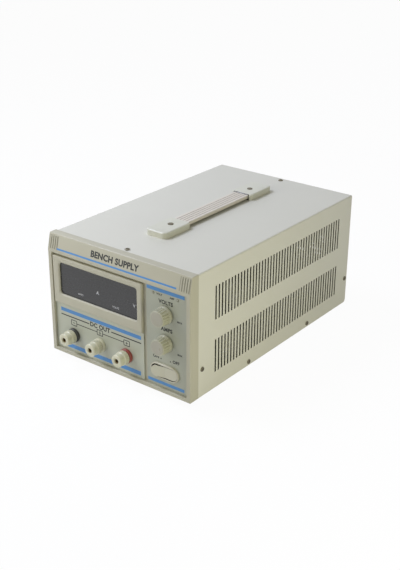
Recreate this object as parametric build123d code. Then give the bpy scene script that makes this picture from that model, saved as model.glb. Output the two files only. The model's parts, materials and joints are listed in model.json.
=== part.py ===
from build123d import *
import os
from math import atan, degrees, radians, tan

# A bench power supply: a sheet steel case with a slotted wrap cover, a moulded front bezel,
# two adjusting knobs, a power rocker, three binding posts, a strap handle and a rear fan.
# Millimetres. X runs to the right, the front faces -Y, and +Z is up.
# The origin is on the table, in the middle of the outer box.
# Below, a depth is measured back from the bezel's face and a height up from the case floor.

# Case
case_width = 205.0
case_depth = 329.0
case_height = 147.0
sheet = 1.2
cover_bend = 0.8
cover_corner_radius = 4.0
sheet_gap = 0.2

# Ventilation slots of the cover
slot_pitch = 5.77
slot_width = 2.5
slot_first_depth = 45.6
slot_rear_margin = 28.0
slot_low_margin = 20.0
slot_top_margin = 23.0
slot_row_gap = 24.0

# Feet
foot_height = 8.0
foot_top_radius = 10.0
foot_bottom_radius = 8.8
foot_inset_x = 28.0
foot_front_depth = 42.0
foot_rear_margin = 28.0

# Front bezel
bezel_depth = 14.3
bezel_proud = 0.9
bezel_wall = 2.4
bezel_lean = 4.45
bezel_lean_height = 19.0
bezel_lean_radius = 14.0
bezel_top_radius = 1.2
bezel_edge = 0.7
rim_side = 5.4
rim_bottom = 5.0
recess_top_margin = 2.9
panel_recess = 3.0
panel_thickness = 1.5
web_thickness = 2.5
clip_insets = (38.0, 6.4)
clip_width = 10.0
clip_thickness = 2.0
clip_barb = 1.2
clip_gap = 0.2

# Front frame and base tray
frame_window_side = 14.5
frame_window_low = 14.0
frame_window_top = 19.0
return_depth = 14.0
return_low = 17.0
tray_flange_height = 15.0

# The controls' group at the right of the recess, the display and outputs at the left.
# A share places something up the recess, from 0 at its bottom to 1 at its top.
control_group_width = 57.0
group_gap = 4.6
seat_gap = 0.3

# Display surround and window
surround_share = 0.48347
surround_top_margin = 3.0
surround_proud = 2.6
surround_chamfer = 1.2
window_margin_left = 10.5
window_margin_right = 7.7
window_margin_low = 13.0
window_margin_high = 7.5
window_rebate = 1.8
window_thickness = 1.5

# Output terminals
terminal_margins = (28.0, 25.4)
terminal_share = 0.18595
collar_radius = 8.7
collar_thickness = 4.0
collar_neck_radius = 4.0
stud_radius = 3.0
stud_reach = 16.3
stud_tail = 17.0
stud_flat = 2.6
socket_radius = 2.0
socket_depth = 19.0
clamp_washer_radius = 6.0
clamp_washer_thickness = 0.8
clamp_washer_gap = 0.05
cap_reach = 18.0
cap_grip_radius = 8.3
cap_grip_length = 6.0
cap_nose_radius = 7.6
cap_chamfer = 0.8
cap_grip_sides = 12
running_gap = 0.05
terminal_nut_flats = 11.0
terminal_nut_height = 4.0

# Knobs and potentiometers
knob_inset = 30.5
knob_shares = {"voltage": 0.74793, "current": 0.46612}
knob_reach = 14.8
knob_gap = 0.8
knob_base_radius = 10.4
knob_face_radius = 9.0
knob_skirt = 3.2
knob_edge = 0.9
knob_sides = 18
knob_well_radius = 7.0
knob_well_gap = 0.4
shaft_radius = 3.0
shaft_reach = 10.5
shaft_flat = 1.5
bushing_radius = 4.5
bushing_reach = 4.0
pot_size = 14.0
pot_depth = 9.0
pot_floor = 2.0
pot_nut_flats = 12.0
pot_nut_height = 2.0

# Power rocker
rocker_inset = 31.5
rocker_share = 0.1719
rocker_flange = (39.5, 18.5)
rocker_flange_proud = 2.4
rocker_body = (37.6, 16.8)
rocker_pocket = (36.2, 15.0)
rocker_cap = (34.4, 13.8)
rocker_tilt = 6.0
rocker_pivot_depth = 7.4
rocker_valley_depth = 1.3
rocker_back_depth = 10.0
rocker_pocket_depth = 13.0
rocker_body_depth = 20.0
rocker_pin_radius = 1.5
rocker_pin_hold = 0.5
rocker_edge = 0.8
switch_tab = (0.8, 6.0)
switch_tab_reach = 9.0
switch_tab_offsets = (-9.0, 0.0, 9.0)

# Status lamps
lamp_offsets = (-16.7, 16.8)
lamp_share = 0.92562
lamp_radius = 1.5
lamp_length = 5.0
lamp_proud = 0.8

# Strap handle on the cover
handle_shift = 1.5
handle_span = 156.5
cap_mouth_reach = 18.5
cap_end_reach = 27.5
cap_width = 29.5
cap_height = 7.5
cap_wall = 2.2
cap_end_radius = 6.0
cap_mouth_corner = 2.0
cap_top_edge = 1.0
strap_width = 21.5
strap_thickness = 3.6
strap_drop = 1.0
strap_groove_width = 1.3
strap_groove_depth = 0.5
strap_groove_pitch = 4.2
strap_grooves = 4
strap_mouth_gap = 0.8
strap_stub = 1.2
hinge_gap = 0.06
tongue_width = 16.0
tongue_thickness = 2.2
tongue_length = 24.0
tongue_gap = 0.6
handle_boss_radius = 3.2
handle_screw_radius = 2.0
handle_screw_head_radius = 3.3
handle_screw_head_height = 1.6
handle_screw_sink = 1.0
handle_screw_length = 14.0
tongue_slot_near = 4.3
tongue_slot_far = 6.8

# Rear panel, fan and mains inlet
rear_inset = 1.0
fan_inset = 58.5
fan_top_margin = 59.0
fan_size = 80.0
fan_depth = 25.0
fan_bore_radius = 38.0
fan_flange = 4.0
fan_notch = 10.0
fan_slot_width = 3.2
fan_slot_pitch = 6.0
fan_spider = 3.0
fan_arm_width = 4.0
fan_hub_radius = 17.0
fan_hub_gap = 1.0
fan_tip_radius = 36.4
fan_blades = 7
fan_blade_chord = 22.0
fan_blade_pitch = 38.0
fan_blade_thickness = 1.4
fan_spindle_radius = 1.5
inlet_inset = 44.5
inlet_height = 44.0
inlet_flange = (50.0, 36.0)
inlet_flange_thickness = 3.0
inlet_flange_chamfer = 6.0
inlet_body = (27.0, 31.0)
inlet_body_depth = 26.0
inlet_cavity = (24.0, 16.4)
inlet_cavity_rise = 5.4
inlet_cavity_depth = 16.0
inlet_cavity_chamfer = 5.0
pin_size = (2.0, 4.0)
pin_spacing = 7.0
pin_offset = 2.0
pin_recess = 3.5
pin_tail = 8.0
drawer_face = (22.0, 7.6)
drawer_drop = 9.0
drawer_length = 22.0
drawer_gap = 0.3
drawer_notch = (8.0, 1.2)
drawer_notch_depth = 1.5
fuse_radius = 2.5
fuse_length = 20.0
fuse_gap = 0.3

# Boards and power parts inside
board_side_gap = 13.1
board_front_depth = 62.0
board_rear_margin = 37.0
board_thickness = 1.6
standoff_height = 8.0
standoff_radius = 3.0
standoff_inset = 8.0
transformer_x = 22.0
transformer_shift = -5.0
transformer_size = (54.0, 44.0, 42.0)
core_window = (12.0, 26.0)
winding_bulge = 7.0
capacitor_radius = 12.5
capacitor_height = 42.0
capacitor_xs = (-16.0, 16.0)
capacitor_gap = 29.5
heatsink_rear_margin = 42.0
heatsink_height = 82.0
heatsink_base = 4.0
heatsink_fin = 2.0
heatsink_fin_reach = 18.0
heatsink_fins = 7
heatsink_front_depth = 100.0
transistor_size = (5.0, 16.0, 20.0)
transistor_rise = 8.0
transistor_count = 2
lead_size = (0.8, 1.2)
lead_spacing = 4.0
display_board_margin = (5.9, 3.5)
display_board_depth = 12.0
display_pillar = 4.0
digit_margin = (8.1, 10.0)
digit_block_gap = 8.0
digit_gap = 0.4

# How far cutters run past a face, and how far shapes that join run into each other
overshoot = 1.0
bite = 0.5

# Places worked out from the values above
cover_half = case_width / 2
bezel_half = cover_half + bezel_proud
bezel_height = case_height + bezel_proud
recess_half = bezel_half - rim_side
recess_top = bezel_height - bezel_lean_height - recess_top_margin
recess_height = recess_top - rim_bottom
group_gap_right = recess_half - control_group_width
group_gap_left = group_gap_right - group_gap
clip_xs = (clip_insets[0] - recess_half, group_gap_left - clip_insets[1])
surround_low = rim_bottom + surround_share * recess_height
surround_high = recess_top - surround_top_margin
window_left = window_margin_left - recess_half
window_right = group_gap_left - window_margin_right
window_low = surround_low + window_margin_low
window_high = surround_high - window_margin_high
window_size = (window_right - window_left, window_high - window_low)
terminal_ends = (terminal_margins[0] - recess_half, group_gap_left - terminal_margins[1])
terminal_xs = (terminal_ends[0], sum(terminal_ends) / 2, terminal_ends[1])
terminal_height = rim_bottom + terminal_share * recess_height
knob_x = recess_half - knob_inset
knob_heights = {name: rim_bottom + share * recess_height for name, share in knob_shares.items()}
rocker_x = recess_half - rocker_inset
rocker_height = rim_bottom + rocker_share * recess_height
lamp_xs = tuple(knob_x + offset for offset in lamp_offsets)
lamp_height = rim_bottom + lamp_share * recess_height
web_face = panel_recess + panel_thickness
web_back = web_face + web_thickness
chassis_half = cover_half - sheet - sheet_gap
chassis_top = case_height - sheet - sheet_gap
frame_back = bezel_depth + sheet
frame_window_x = cover_half - frame_window_side
frame_window_high = case_height - frame_window_top
foot_rear_depth = case_depth - foot_rear_margin
slot_columns = int((case_depth - slot_first_depth - slot_rear_margin) / slot_pitch) + 1
slot_height = (case_height - slot_low_margin - slot_top_margin - slot_row_gap) / 2
slot_row_lows = (slot_low_margin, slot_low_margin + slot_height + slot_row_gap)
rear_face = case_depth - rear_inset
rear_inner = rear_face - sheet
fan_front = rear_inner - fan_depth
fan_x = cover_half - fan_inset
fan_height = case_height - fan_top_margin
inlet_x = inlet_inset - cover_half
inlet_face = rear_face + inlet_flange_thickness
post_reach = cap_reach - panel_recess
front_y = post_reach - (post_reach + max(case_depth, inlet_face)) / 2
floor_z = foot_height
board_top = sheet + standoff_height + board_thickness
board_width = 2 * (chassis_half - board_side_gap)
board_rear_depth = case_depth - board_rear_margin
transformer_depth = (board_front_depth + board_rear_depth) / 2 + transformer_shift
capacitor_depth = transformer_depth + transformer_size[1] / 2 + capacitor_gap + capacitor_radius
heatsink_x = board_width / 2 - heatsink_fin_reach
heatsink_length = board_rear_depth - heatsink_rear_margin - heatsink_front_depth
display_board_width = window_size[0] + 2 * display_board_margin[0]
display_board_height = window_size[1] + 2 * display_board_margin[1]
digit_block_width = (window_size[0] - 2 * digit_margin[0] - digit_block_gap) / 2
digit_block_size = (digit_block_width, window_size[1] - 2 * digit_margin[1])
handle_front_screw_depth = (bezel_depth + case_depth - handle_span) / 2 + handle_shift
handle_rear_screw_depth = handle_front_screw_depth + handle_span
strap_top = case_height + cap_height - strap_drop
strap_bottom = strap_top - strap_thickness
strap_front_hinge = handle_front_screw_depth + cap_mouth_reach + strap_stub
strap_rear_hinge = handle_rear_screw_depth - cap_mouth_reach - strap_mouth_gap - strap_stub
strap_middle_hinge = (strap_front_hinge + strap_rear_hinge) / 2


def rectangle(x_from, x_to, low, high, corner=0.0):
    """A rectangle between two corners of a sketch, its own corners rounded if asked."""
    width, height = x_to - x_from, high - low
    outline = RectangleRounded(width, height, corner) if corner else Rectangle(width, height)
    return Pos((x_from + x_to) / 2, (low + high) / 2) * outline


def plate(sketch, depth_from, depth_to):
    """A front view sketch of x and height, made solid between two depths."""
    back = Plane(origin=(0, front_y + depth_to, floor_z), x_dir=(1, 0, 0), z_dir=(0, -1, 0))
    return extrude(back * sketch, amount=depth_to - depth_from)


def slab(sketch, low, high):
    """A plan view sketch of x and depth, made solid between two heights."""
    base = Plane(origin=(0, front_y, floor_z + low), x_dir=(1, 0, 0), z_dir=(0, 0, 1))
    return extrude(base * sketch, amount=high - low)


def across(sketch, x_from, x_to):
    """A side view sketch of depth and height, made solid between two places across."""
    side = Plane(origin=(x_from, front_y, floor_z), x_dir=(0, 1, 0), z_dir=(1, 0, 0))
    return extrude(side * sketch, amount=x_to - x_from)


def facing_front(x, height, depth):
    """A plane at a point of the case, its normal towards the user."""
    origin = (x, front_y + depth, floor_z + height)
    return Plane(origin=origin, x_dir=(1, 0, 0), z_dir=(0, -1, 0))


def facing_rear(x, height, depth):
    """A plane at a point of the case, its normal towards the back."""
    origin = (x, front_y + depth, floor_z + height)
    return Plane(origin=origin, x_dir=(-1, 0, 0), z_dir=(0, 1, 0))


def facing_up(x, depth, height):
    """A plane at a point of the case, its normal upwards."""
    return Plane(origin=(x, front_y + depth, floor_z + height), z_dir=(0, 0, 1))


def facing_side(side, depth, height, x):
    """A plane at a point of the case, its normal out of the left or right side."""
    origin = (side * x, front_y + depth, floor_z + height)
    return Plane(origin=origin, x_dir=(0, side, 0), z_dir=(side, 0, 0))


def turned(place, outline):
    """A solid turned about a plane's normal from corners of height and radius."""
    corners = [(radius, height) for height, radius in outline]
    profile = make_face(Plane.XZ * Polyline(*corners, close=True))
    return place * revolve(profile, Axis.Z)


def drilled(place, radius, low, high):
    """A round bar on a plane's normal between two heights, to add or to cut with."""
    return place * Pos(0, 0, (low + high) / 2) * Cylinder(radius, high - low)


def hexagon(flats):
    """A hexagon for a nut, its size measured across its flats."""
    return RegularPolygon(flats / 2, 6, major_radius=False)


def joined(solids):
    """One shape from several solids."""
    first, *others = solids
    for other in others:
        first += other
    return first


def near(shape, kind, point):
    """The edge or corner of a shape that lies nearest to a point."""
    return getattr(shape, kind)().sort_by_distance(point)[0]


# Case sheet metal


def sheet_outline(half, top, low=0.0):
    """Front view of a flat blank whose two top corners follow the cover's bends."""
    outline = rectangle(-half, half, low, top)
    corners = [near(outline, "vertices", (x, top, 0)) for x in (-half, half)]
    return fillet(corners, cover_bend + sheet)


def wrap_outline(half, top, low=0.0):
    """Front view of a sheet bent down over both sides, open below."""
    inner_half, inner_top = half - sheet, top - sheet
    inner = rectangle(-inner_half, inner_half, low - sheet, inner_top)
    corners = [near(inner, "vertices", (x, inner_top, 0)) for x in (-inner_half, inner_half)]
    return sheet_outline(half, top, low) - fillet(corners, cover_bend)


def vent_slots():
    """Side view of the two rows of upright slots."""
    slot = Rectangle(slot_width, slot_height)
    return [
        Pos(slot_first_depth + column * slot_pitch, low + slot_height / 2) * slot
        for low in slot_row_lows
        for column in range(slot_columns)
    ]


def top_cover():
    """The painted cover: one sheet over the top and both slotted sides."""
    cover = plate(wrap_outline(cover_half, case_height), bezel_depth, case_depth)
    centre = (case_depth - cover_corner_radius, cover_corner_radius)
    corner = rectangle(centre[0], case_depth + overshoot, -overshoot, centre[1])
    corner -= Pos(*centre) * Circle(cover_corner_radius)
    reach = cover_half + overshoot
    cover -= [across(outline, -reach, reach) for outline in (corner, *vent_slots())]
    for depth in (handle_front_screw_depth, handle_rear_screw_depth):
        top = facing_up(0, depth, case_height)
        cover -= drilled(top, handle_screw_radius, -sheet - overshoot, overshoot)
    return cover


def base_tray():
    """The chassis floor with low flanges inside the cover's lower edges."""
    floor = plate(rectangle(-chassis_half, chassis_half, 0, sheet), bezel_depth, rear_face)
    walls = rectangle(-chassis_half, chassis_half, 0, tray_flange_height)
    walls -= rectangle(-chassis_half + sheet, chassis_half - sheet, sheet, tray_flange_height)
    return floor + plate(walls, frame_back + sheet_gap, rear_inner - sheet_gap)


def front_frame():
    """The upright sheet that holds the bezel, with edges folded back under the cover."""
    face = sheet_outline(chassis_half, chassis_top, sheet)
    face -= rectangle(-frame_window_x, frame_window_x, frame_window_low, frame_window_high)
    returns = wrap_outline(chassis_half, chassis_top, return_low)
    return plate(face, bezel_depth, frame_back) + plate(returns, bezel_depth, frame_back + return_depth)


def fan_slots():
    """Front view of the fan's air slots, each as long as the fan's bore allows."""
    steps = int((fan_bore_radius - fan_slot_width) / fan_slot_pitch)
    slots = []
    for step in range(-steps, steps + 1):
        edge = abs(step) * fan_slot_pitch + fan_slot_width / 2
        reach = (fan_bore_radius ** 2 - edge ** 2) ** 0.5
        slots.append(at_fan(Pos(0, step * fan_slot_pitch) * Rectangle(2 * reach, fan_slot_width)))
    return slots


def rear_panel():
    """The upright rear sheet with the fan's slots and the inlet's cut-out."""
    panel = plate(sheet_outline(chassis_half, chassis_top, sheet), rear_inner, rear_face)
    returns = wrap_outline(chassis_half, chassis_top, return_low)
    panel += plate(returns, rear_inner - return_depth, rear_face)
    holes = [*fan_slots(), at_inlet(Rectangle(*inlet_body))]
    return panel - [plate(hole, rear_inner - overshoot, rear_face + overshoot) for hole in holes]


def foot_places():
    """Where the four feet stand, as x and depth."""
    foot_x = cover_half - foot_inset_x
    return [(x, depth) for x in (-foot_x, foot_x) for depth in (foot_front_depth, foot_rear_depth)]


def rubber_feet():
    """Four tapered feet bonded under the floor."""
    outline = [(0, 0), (0, foot_top_radius), (-foot_height, foot_bottom_radius), (-foot_height, 0)]
    return [turned(facing_up(x, depth, 0), outline) for x, depth in foot_places()]


# Front bezel and panels


def bezel_profile():
    """Side view of the bezel: an upright front with a title strip that leans back."""
    lean_low = bezel_height - bezel_lean_height
    line = Polyline(
        (0, 0),
        (0, lean_low),
        (bezel_lean, bezel_height),
        (bezel_depth, bezel_height),
        (bezel_depth, 0),
        close=True,
    )
    outline = make_face(line)
    outline = fillet(near(outline, "vertices", (0, lean_low, 0)), bezel_lean_radius)
    outline = fillet(near(outline, "vertices", (bezel_lean, bezel_height, 0)), bezel_top_radius)
    return chamfer(near(outline, "vertices", (0, 0, 0)), bezel_edge)


def bezel_clips():
    """Hooks behind the bezel that snap over the upper and lower edges of the frame's window."""
    catch = frame_back + clip_gap
    clips = []
    for edge, out in ((frame_window_high, 1), (frame_window_low, -1)):
        outer = edge - out * clip_gap
        inner = outer - out * clip_thickness
        hook = make_face(
            Polyline(
                (web_back - bite, inner), (catch + clip_thickness, inner),
                (catch + clip_thickness, outer), (catch, edge + out * clip_barb),
                (catch, outer), (web_back - bite, outer), close=True,
            )
        )
        clips += [across(hook, x - clip_width / 2, x + clip_width / 2) for x in clip_xs]
    return clips


def front_bezel():
    """The moulded bezel: a rim around a recessed web that carries the panels."""
    bezel = across(bezel_profile(), -bezel_half, bezel_half)
    ends = bezel.faces().sort_by(Axis.X)
    rims = [edge for face in (ends[0], ends[-1]) for edge in face.edges()]
    rear_y = front_y + bezel_depth
    bezel = chamfer([edge for edge in rims if edge.center().Y < rear_y - running_gap], bezel_edge)

    recess = rectangle(-recess_half, recess_half, rim_bottom, recess_top)
    bezel -= plate(recess, -overshoot, web_face)
    inner_half = bezel_half - bezel_wall
    cavity = rectangle(-inner_half, inner_half, bezel_wall, bezel_height - bezel_wall)
    bezel -= plate(cavity, web_back, bezel_depth + overshoot)

    window = rectangle(window_left, window_right, window_low, window_high)
    margin = collar_radius + overshoot
    posts = rectangle(
        terminal_xs[0] - margin, terminal_xs[-1] + margin,
        terminal_height - margin, terminal_height + margin,
    )
    controls = rectangle(
        group_gap_right + bezel_wall * 2, recess_half - bezel_wall * 2,
        rim_bottom + bezel_wall * 3, recess_top - bezel_wall * 2,
    )
    bezel -= [plate(hole, web_face - overshoot, web_back + overshoot) for hole in (window, posts, controls)]
    for x, height in display_pillar_places():
        pillar = Pos(x, height) * Rectangle(display_pillar, display_pillar)
        bezel += plate(pillar, web_back - bite, display_board_depth)
    return joined([bezel, *bezel_clips()])


def window_outline(grow=0.0):
    """Front view of the display window, grown all round if asked."""
    return rectangle(window_left - grow, window_right + grow, window_low - grow, window_high + grow)


def display_surround():
    """The raised frame round the display window, bevelled inside and out."""
    left, right = -recess_half + seat_gap, group_gap_left
    face_depth = panel_recess - surround_proud
    frame = plate(rectangle(left, right, surround_low, surround_high), face_depth, web_face)
    front = frame.faces().sort_by(Axis.Y)[0]
    frame = chamfer(front.edges(), surround_chamfer)
    frame -= plate(window_outline(), face_depth - overshoot, web_face + overshoot)
    mouth = frame.faces().sort_by(Axis.Y)[0].inner_wires()[0]
    frame = chamfer(mouth.edges(), surround_chamfer)
    rebate = window_outline(window_rebate + seat_gap)
    return frame - plate(rebate, web_face - window_thickness, web_face + overshoot)


def display_window():
    """The smoked window behind the surround."""
    return plate(window_outline(window_rebate), web_face - window_thickness, web_face)


def output_panel():
    """The panel that carries the three output terminals."""
    panel = rectangle(
        -recess_half + seat_gap, group_gap_left, rim_bottom + seat_gap, surround_low - seat_gap
    )
    for x in terminal_xs:
        panel -= Pos(x, terminal_height) * Circle(collar_neck_radius)
    return plate(panel, panel_recess, web_face)


def control_panel():
    """The panel that carries the knobs, the rocker and the status lamps."""
    panel = rectangle(
        group_gap_right, recess_half - seat_gap, rim_bottom + seat_gap, recess_top - seat_gap
    )
    for height in knob_heights.values():
        panel -= Pos(knob_x, height) * Circle(bushing_radius)
    panel -= at_rocker(SlotOverall(*rocker_body))
    for x in lamp_xs:
        panel -= Pos(x, lamp_height) * Circle(lamp_radius)
    return plate(panel, panel_recess, web_face)


def on_panel(x, height):
    """A plane on the panels' face, its normal towards the user."""
    return facing_front(x, height, panel_recess)


def status_leds():
    """Two small lamps pushed through the control panel."""
    return [drilled(on_panel(x, lamp_height), lamp_radius, -lamp_length, lamp_proud) for x in lamp_xs]


# Output terminals


def terminal_collar(x):
    """The coloured insulating collar: a ring in front and a neck through the panel."""
    bore = stud_radius + running_gap
    outline = [(-panel_thickness, bore), (-panel_thickness, collar_neck_radius)]
    outline += [(0, collar_neck_radius), (0, collar_radius), (collar_thickness, collar_radius)]
    outline += [(collar_thickness, bore)]
    return turned(on_panel(x, terminal_height), outline)


def terminal_studs():
    """The metal posts: a plug socket down the front, flats for the washer and a nut behind."""
    nut = extrude(hexagon(terminal_nut_flats), amount=-terminal_nut_height)
    gap = stud_radius - stud_flat
    flat_length = stud_reach - collar_thickness + overshoot
    flat = Box(2 * gap, 2 * stud_radius, flat_length)
    studs = []
    for x in terminal_xs:
        place = on_panel(x, terminal_height)
        stud = drilled(place, stud_radius, -stud_tail, stud_reach)
        stud += place * Pos(0, 0, -panel_thickness) * nut
        stud -= drilled(place, socket_radius, stud_reach - socket_depth, stud_reach + overshoot)
        for side in (-1, 1):
            middle = Pos(side * (stud_flat + gap), 0, collar_thickness + flat_length / 2)
            stud -= place * middle * flat
        studs.append(stud)
    return studs


def clamp_washer(x):
    """The washer that rides with a cap and slides on the stud's flats without turning."""
    hole = Circle(stud_radius + running_gap) & Rectangle(2 * (stud_flat + running_gap), 4 * stud_radius)
    ring = Circle(clamp_washer_radius) - hole
    place = on_panel(x, terminal_height) * Pos(0, 0, collar_thickness + clamp_washer_gap)
    return place * extrude(ring, amount=clamp_washer_thickness)


def terminal_cap(x):
    """The screw cap: a many-sided grip at the back and a slim nose with a hole for a plug."""
    back = collar_thickness + clamp_washer_thickness + 2 * clamp_washer_gap
    bore = stud_radius + running_gap
    outline = [(back, 0), (back, cap_nose_radius), (cap_reach - cap_chamfer, cap_nose_radius)]
    outline += [(cap_reach, cap_nose_radius - cap_chamfer), (cap_reach, 0)]
    place = on_panel(x, terminal_height)
    grip = extrude(RegularPolygon(cap_grip_radius, cap_grip_sides), amount=cap_grip_length)
    cap = turned(place, outline) + place * Pos(0, 0, back) * grip
    return cap - drilled(place, bore, back - overshoot, cap_reach + overshoot)


# Knobs and potentiometers


def potentiometer(name):
    """A control: a square body behind the panel, a bushing through it and a nut in front."""
    place = on_panel(knob_x, knob_heights[name])
    back = -panel_thickness - pot_depth
    pot = place * Pos(0, 0, back + pot_depth / 2) * Box(pot_size, pot_size, pot_depth)
    pot += drilled(place, bushing_radius, -panel_thickness - bite, bushing_reach)
    pot += place * extrude(hexagon(pot_nut_flats), amount=pot_nut_height)
    return pot - drilled(place, shaft_radius + running_gap, back + pot_floor, bushing_reach + overshoot)


def d_section(radius):
    """A round section with one flat."""
    return Circle(radius) - rectangle(-radius, radius, shaft_flat, radius + overshoot)


def flatted_end(name):
    """The flatted end of a control's shaft, beyond its bushing."""
    end = extrude(d_section(shaft_radius), amount=shaft_reach - bushing_reach)
    return on_panel(knob_x, knob_heights[name]) * Pos(0, 0, bushing_reach) * end


def pot_shaft(name):
    """The control's turning shaft, round in its bushing and flatted in the knob."""
    back = -panel_thickness - pot_depth + pot_floor + running_gap
    place = on_panel(knob_x, knob_heights[name])
    return drilled(place, shaft_radius, back, bushing_reach) + flatted_end(name)


def control_knob(name):
    """A many-sided, tapered knob on a plain skirt, hollow behind for the control's nut."""
    place = on_panel(knob_x, knob_heights[name])
    skirt_top = knob_gap + knob_skirt
    reach = knob_reach - skirt_top
    slope = degrees(atan((knob_base_radius - knob_face_radius) / reach))
    grip = extrude(RegularPolygon(knob_base_radius, knob_sides), amount=reach, taper=slope)
    grip = chamfer(grip.faces().sort_by(Axis.Z)[-1].edges(), knob_edge)
    knob = drilled(place, knob_base_radius, knob_gap, skirt_top)
    knob += place * Pos(0, 0, skirt_top) * grip
    knob -= drilled(place, knob_well_radius, knob_gap - overshoot, bushing_reach + knob_well_gap)
    return knob - flatted_end(name)


# Power rocker


def at_rocker(sketch):
    """A sketch moved to the middle of the rocker."""
    return Pos(rocker_x, rocker_height) * sketch


def switch_housing():
    """The rocker's frame, pocket and body, with its tabs behind."""
    face_depth = panel_recess - rocker_flange_proud
    housing = plate(at_rocker(SlotOverall(*rocker_flange)), face_depth, panel_recess)
    rim = housing.faces().sort_by(Axis.Y)[0]
    housing = chamfer(rim.edges(), rocker_edge)
    housing += plate(at_rocker(SlotOverall(*rocker_body)), panel_recess, rocker_body_depth)
    pocket = at_rocker(SlotOverall(*rocker_pocket))
    housing -= plate(pocket, face_depth - overshoot, rocker_pocket_depth)
    pin_span = rocker_body[1] / 2 + overshoot
    pivot = facing_up(rocker_x, rocker_pivot_depth, rocker_height)
    housing -= drilled(pivot, rocker_pin_radius + running_gap, -pin_span, pin_span)
    for offset in switch_tab_offsets:
        tab = at_rocker(Pos(offset, 0) * Rectangle(*switch_tab))
        housing += plate(tab, rocker_body_depth - bite, rocker_body_depth + switch_tab_reach)
    return housing


def power_rocker():
    """The stadium-shaped rocker with a shallow valley face, its off end pressed in."""
    half = rocker_cap[0] / 2
    rise = half * tan(radians(rocker_tilt))
    valley, back = rocker_valley_depth, rocker_back_depth
    face = make_face(
        Polyline(
            (rocker_x - half, valley - rise), (rocker_x, valley), (rocker_x + half, valley - rise),
            (rocker_x + half, back), (rocker_x - half, back), close=True,
        )
    )
    rocker = slab(face, rocker_height - rocker_cap[1] / 2, rocker_height + rocker_cap[1] / 2)
    rocker = rocker & plate(at_rocker(SlotOverall(*rocker_cap)), valley - rise - overshoot, back)
    pivot = facing_up(rocker_x, rocker_pivot_depth, rocker_height)
    pin_reach = rocker_pocket[1] / 2 + rocker_pin_hold
    rocker += drilled(pivot, rocker_pin_radius, -pin_reach, pin_reach)
    return rocker.rotate(Axis(pivot.origin, (0, 0, 1)), rocker_tilt)


# Strap handle


def handle_cap(screw_depth, outward):
    """A low hollow end cap, open at its mouth for the strap's tongue."""
    end = screw_depth + outward * cap_end_reach
    mouth = screw_depth - outward * cap_mouth_reach
    half = cap_width / 2
    outline = rectangle(-half, half, min(end, mouth), max(end, mouth))
    outline = fillet([near(outline, "vertices", (x, end, 0)) for x in (-half, half)], cap_end_radius)
    outline = chamfer(
        [near(outline, "vertices", (x, mouth, 0)) for x in (-half, half)], cap_mouth_corner
    )
    cap = slab(outline, case_height, case_height + cap_height)
    cap = chamfer(cap.faces().sort_by(Axis.Z)[-1].edges(), cap_top_edge)

    tongue_half = tongue_width / 2 + tongue_gap
    ceiling = strap_top - (strap_thickness - tongue_thickness) / 2 + tongue_gap
    inner_end = end - outward * 2 * cap_wall
    past_mouth = mouth - outward * overshoot
    room = rectangle(-tongue_half, tongue_half, min(inner_end, past_mouth), max(inner_end, past_mouth))
    cap -= slab(room, case_height - overshoot, ceiling)
    top = facing_up(0, screw_depth, case_height + cap_height)
    cap += drilled(top, handle_boss_radius, -cap_height, ceiling - case_height - cap_height + bite)
    cap -= drilled(top, handle_screw_radius, -cap_height - overshoot, overshoot)
    return cap - drilled(top, handle_screw_head_radius + running_gap, -handle_screw_sink, overshoot)


def handle_screws():
    """The two screws through the handle's caps, heads sunk in their tops."""
    outline = [(-handle_screw_length, 0), (-handle_screw_length, handle_screw_radius)]
    outline += [(0, handle_screw_radius), (0, handle_screw_head_radius)]
    outline += [(handle_screw_head_height, handle_screw_head_radius), (handle_screw_head_height, 0)]
    seat = case_height + cap_height - handle_screw_sink
    depths = (handle_front_screw_depth, handle_rear_screw_depth)
    return [turned(facing_up(0, depth, seat), outline) for depth in depths]


def strap_section():
    """Front view of the strap, with fine grooves along its top."""
    section = rectangle(-strap_width / 2, strap_width / 2, strap_bottom, strap_top)
    corners = section.vertices()
    section = chamfer(corners, strap_thickness * 0.15)
    for number in range(strap_grooves):
        x = (number - (strap_grooves - 1) / 2) * strap_groove_pitch
        half = strap_groove_width / 2
        section -= rectangle(x - half, x + half, strap_top - strap_groove_depth, strap_top + overshoot)
    return section


def strap_length(depth_from, depth_to):
    """A straight length of strap between two depths."""
    return plate(strap_section(), depth_from, depth_to)


def strap_tongue(hinge, screw_depth, outward):
    """A stub of strap outside a cap and the thin slotted tongue inside it."""
    inward_gap = strap_mouth_gap if outward > 0 else 0
    mouth = screw_depth - outward * (cap_mouth_reach + inward_gap)
    start = hinge + outward * hinge_gap
    stub = strap_length(min(start, mouth), max(start, mouth))
    low = strap_bottom + (strap_thickness - tongue_thickness) / 2
    far = screw_depth - outward * cap_mouth_reach + outward * tongue_length
    near_end = mouth - outward * bite
    half = tongue_width / 2
    blade = rectangle(-half, half, min(near_end, far), max(near_end, far))
    width = 2 * (handle_boss_radius + tongue_gap)
    slot_from = screw_depth - outward * tongue_slot_near
    slot_to = screw_depth + outward * tongue_slot_far
    blade -= rectangle(-width / 2, width / 2, min(slot_from, slot_to), max(slot_from, slot_to))
    return stub + slab(blade, low, low + tongue_thickness)


# Fan and mains inlet


def at_fan(sketch):
    """A sketch moved to the middle of the fan."""
    return Pos(fan_x, fan_height) * sketch


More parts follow.
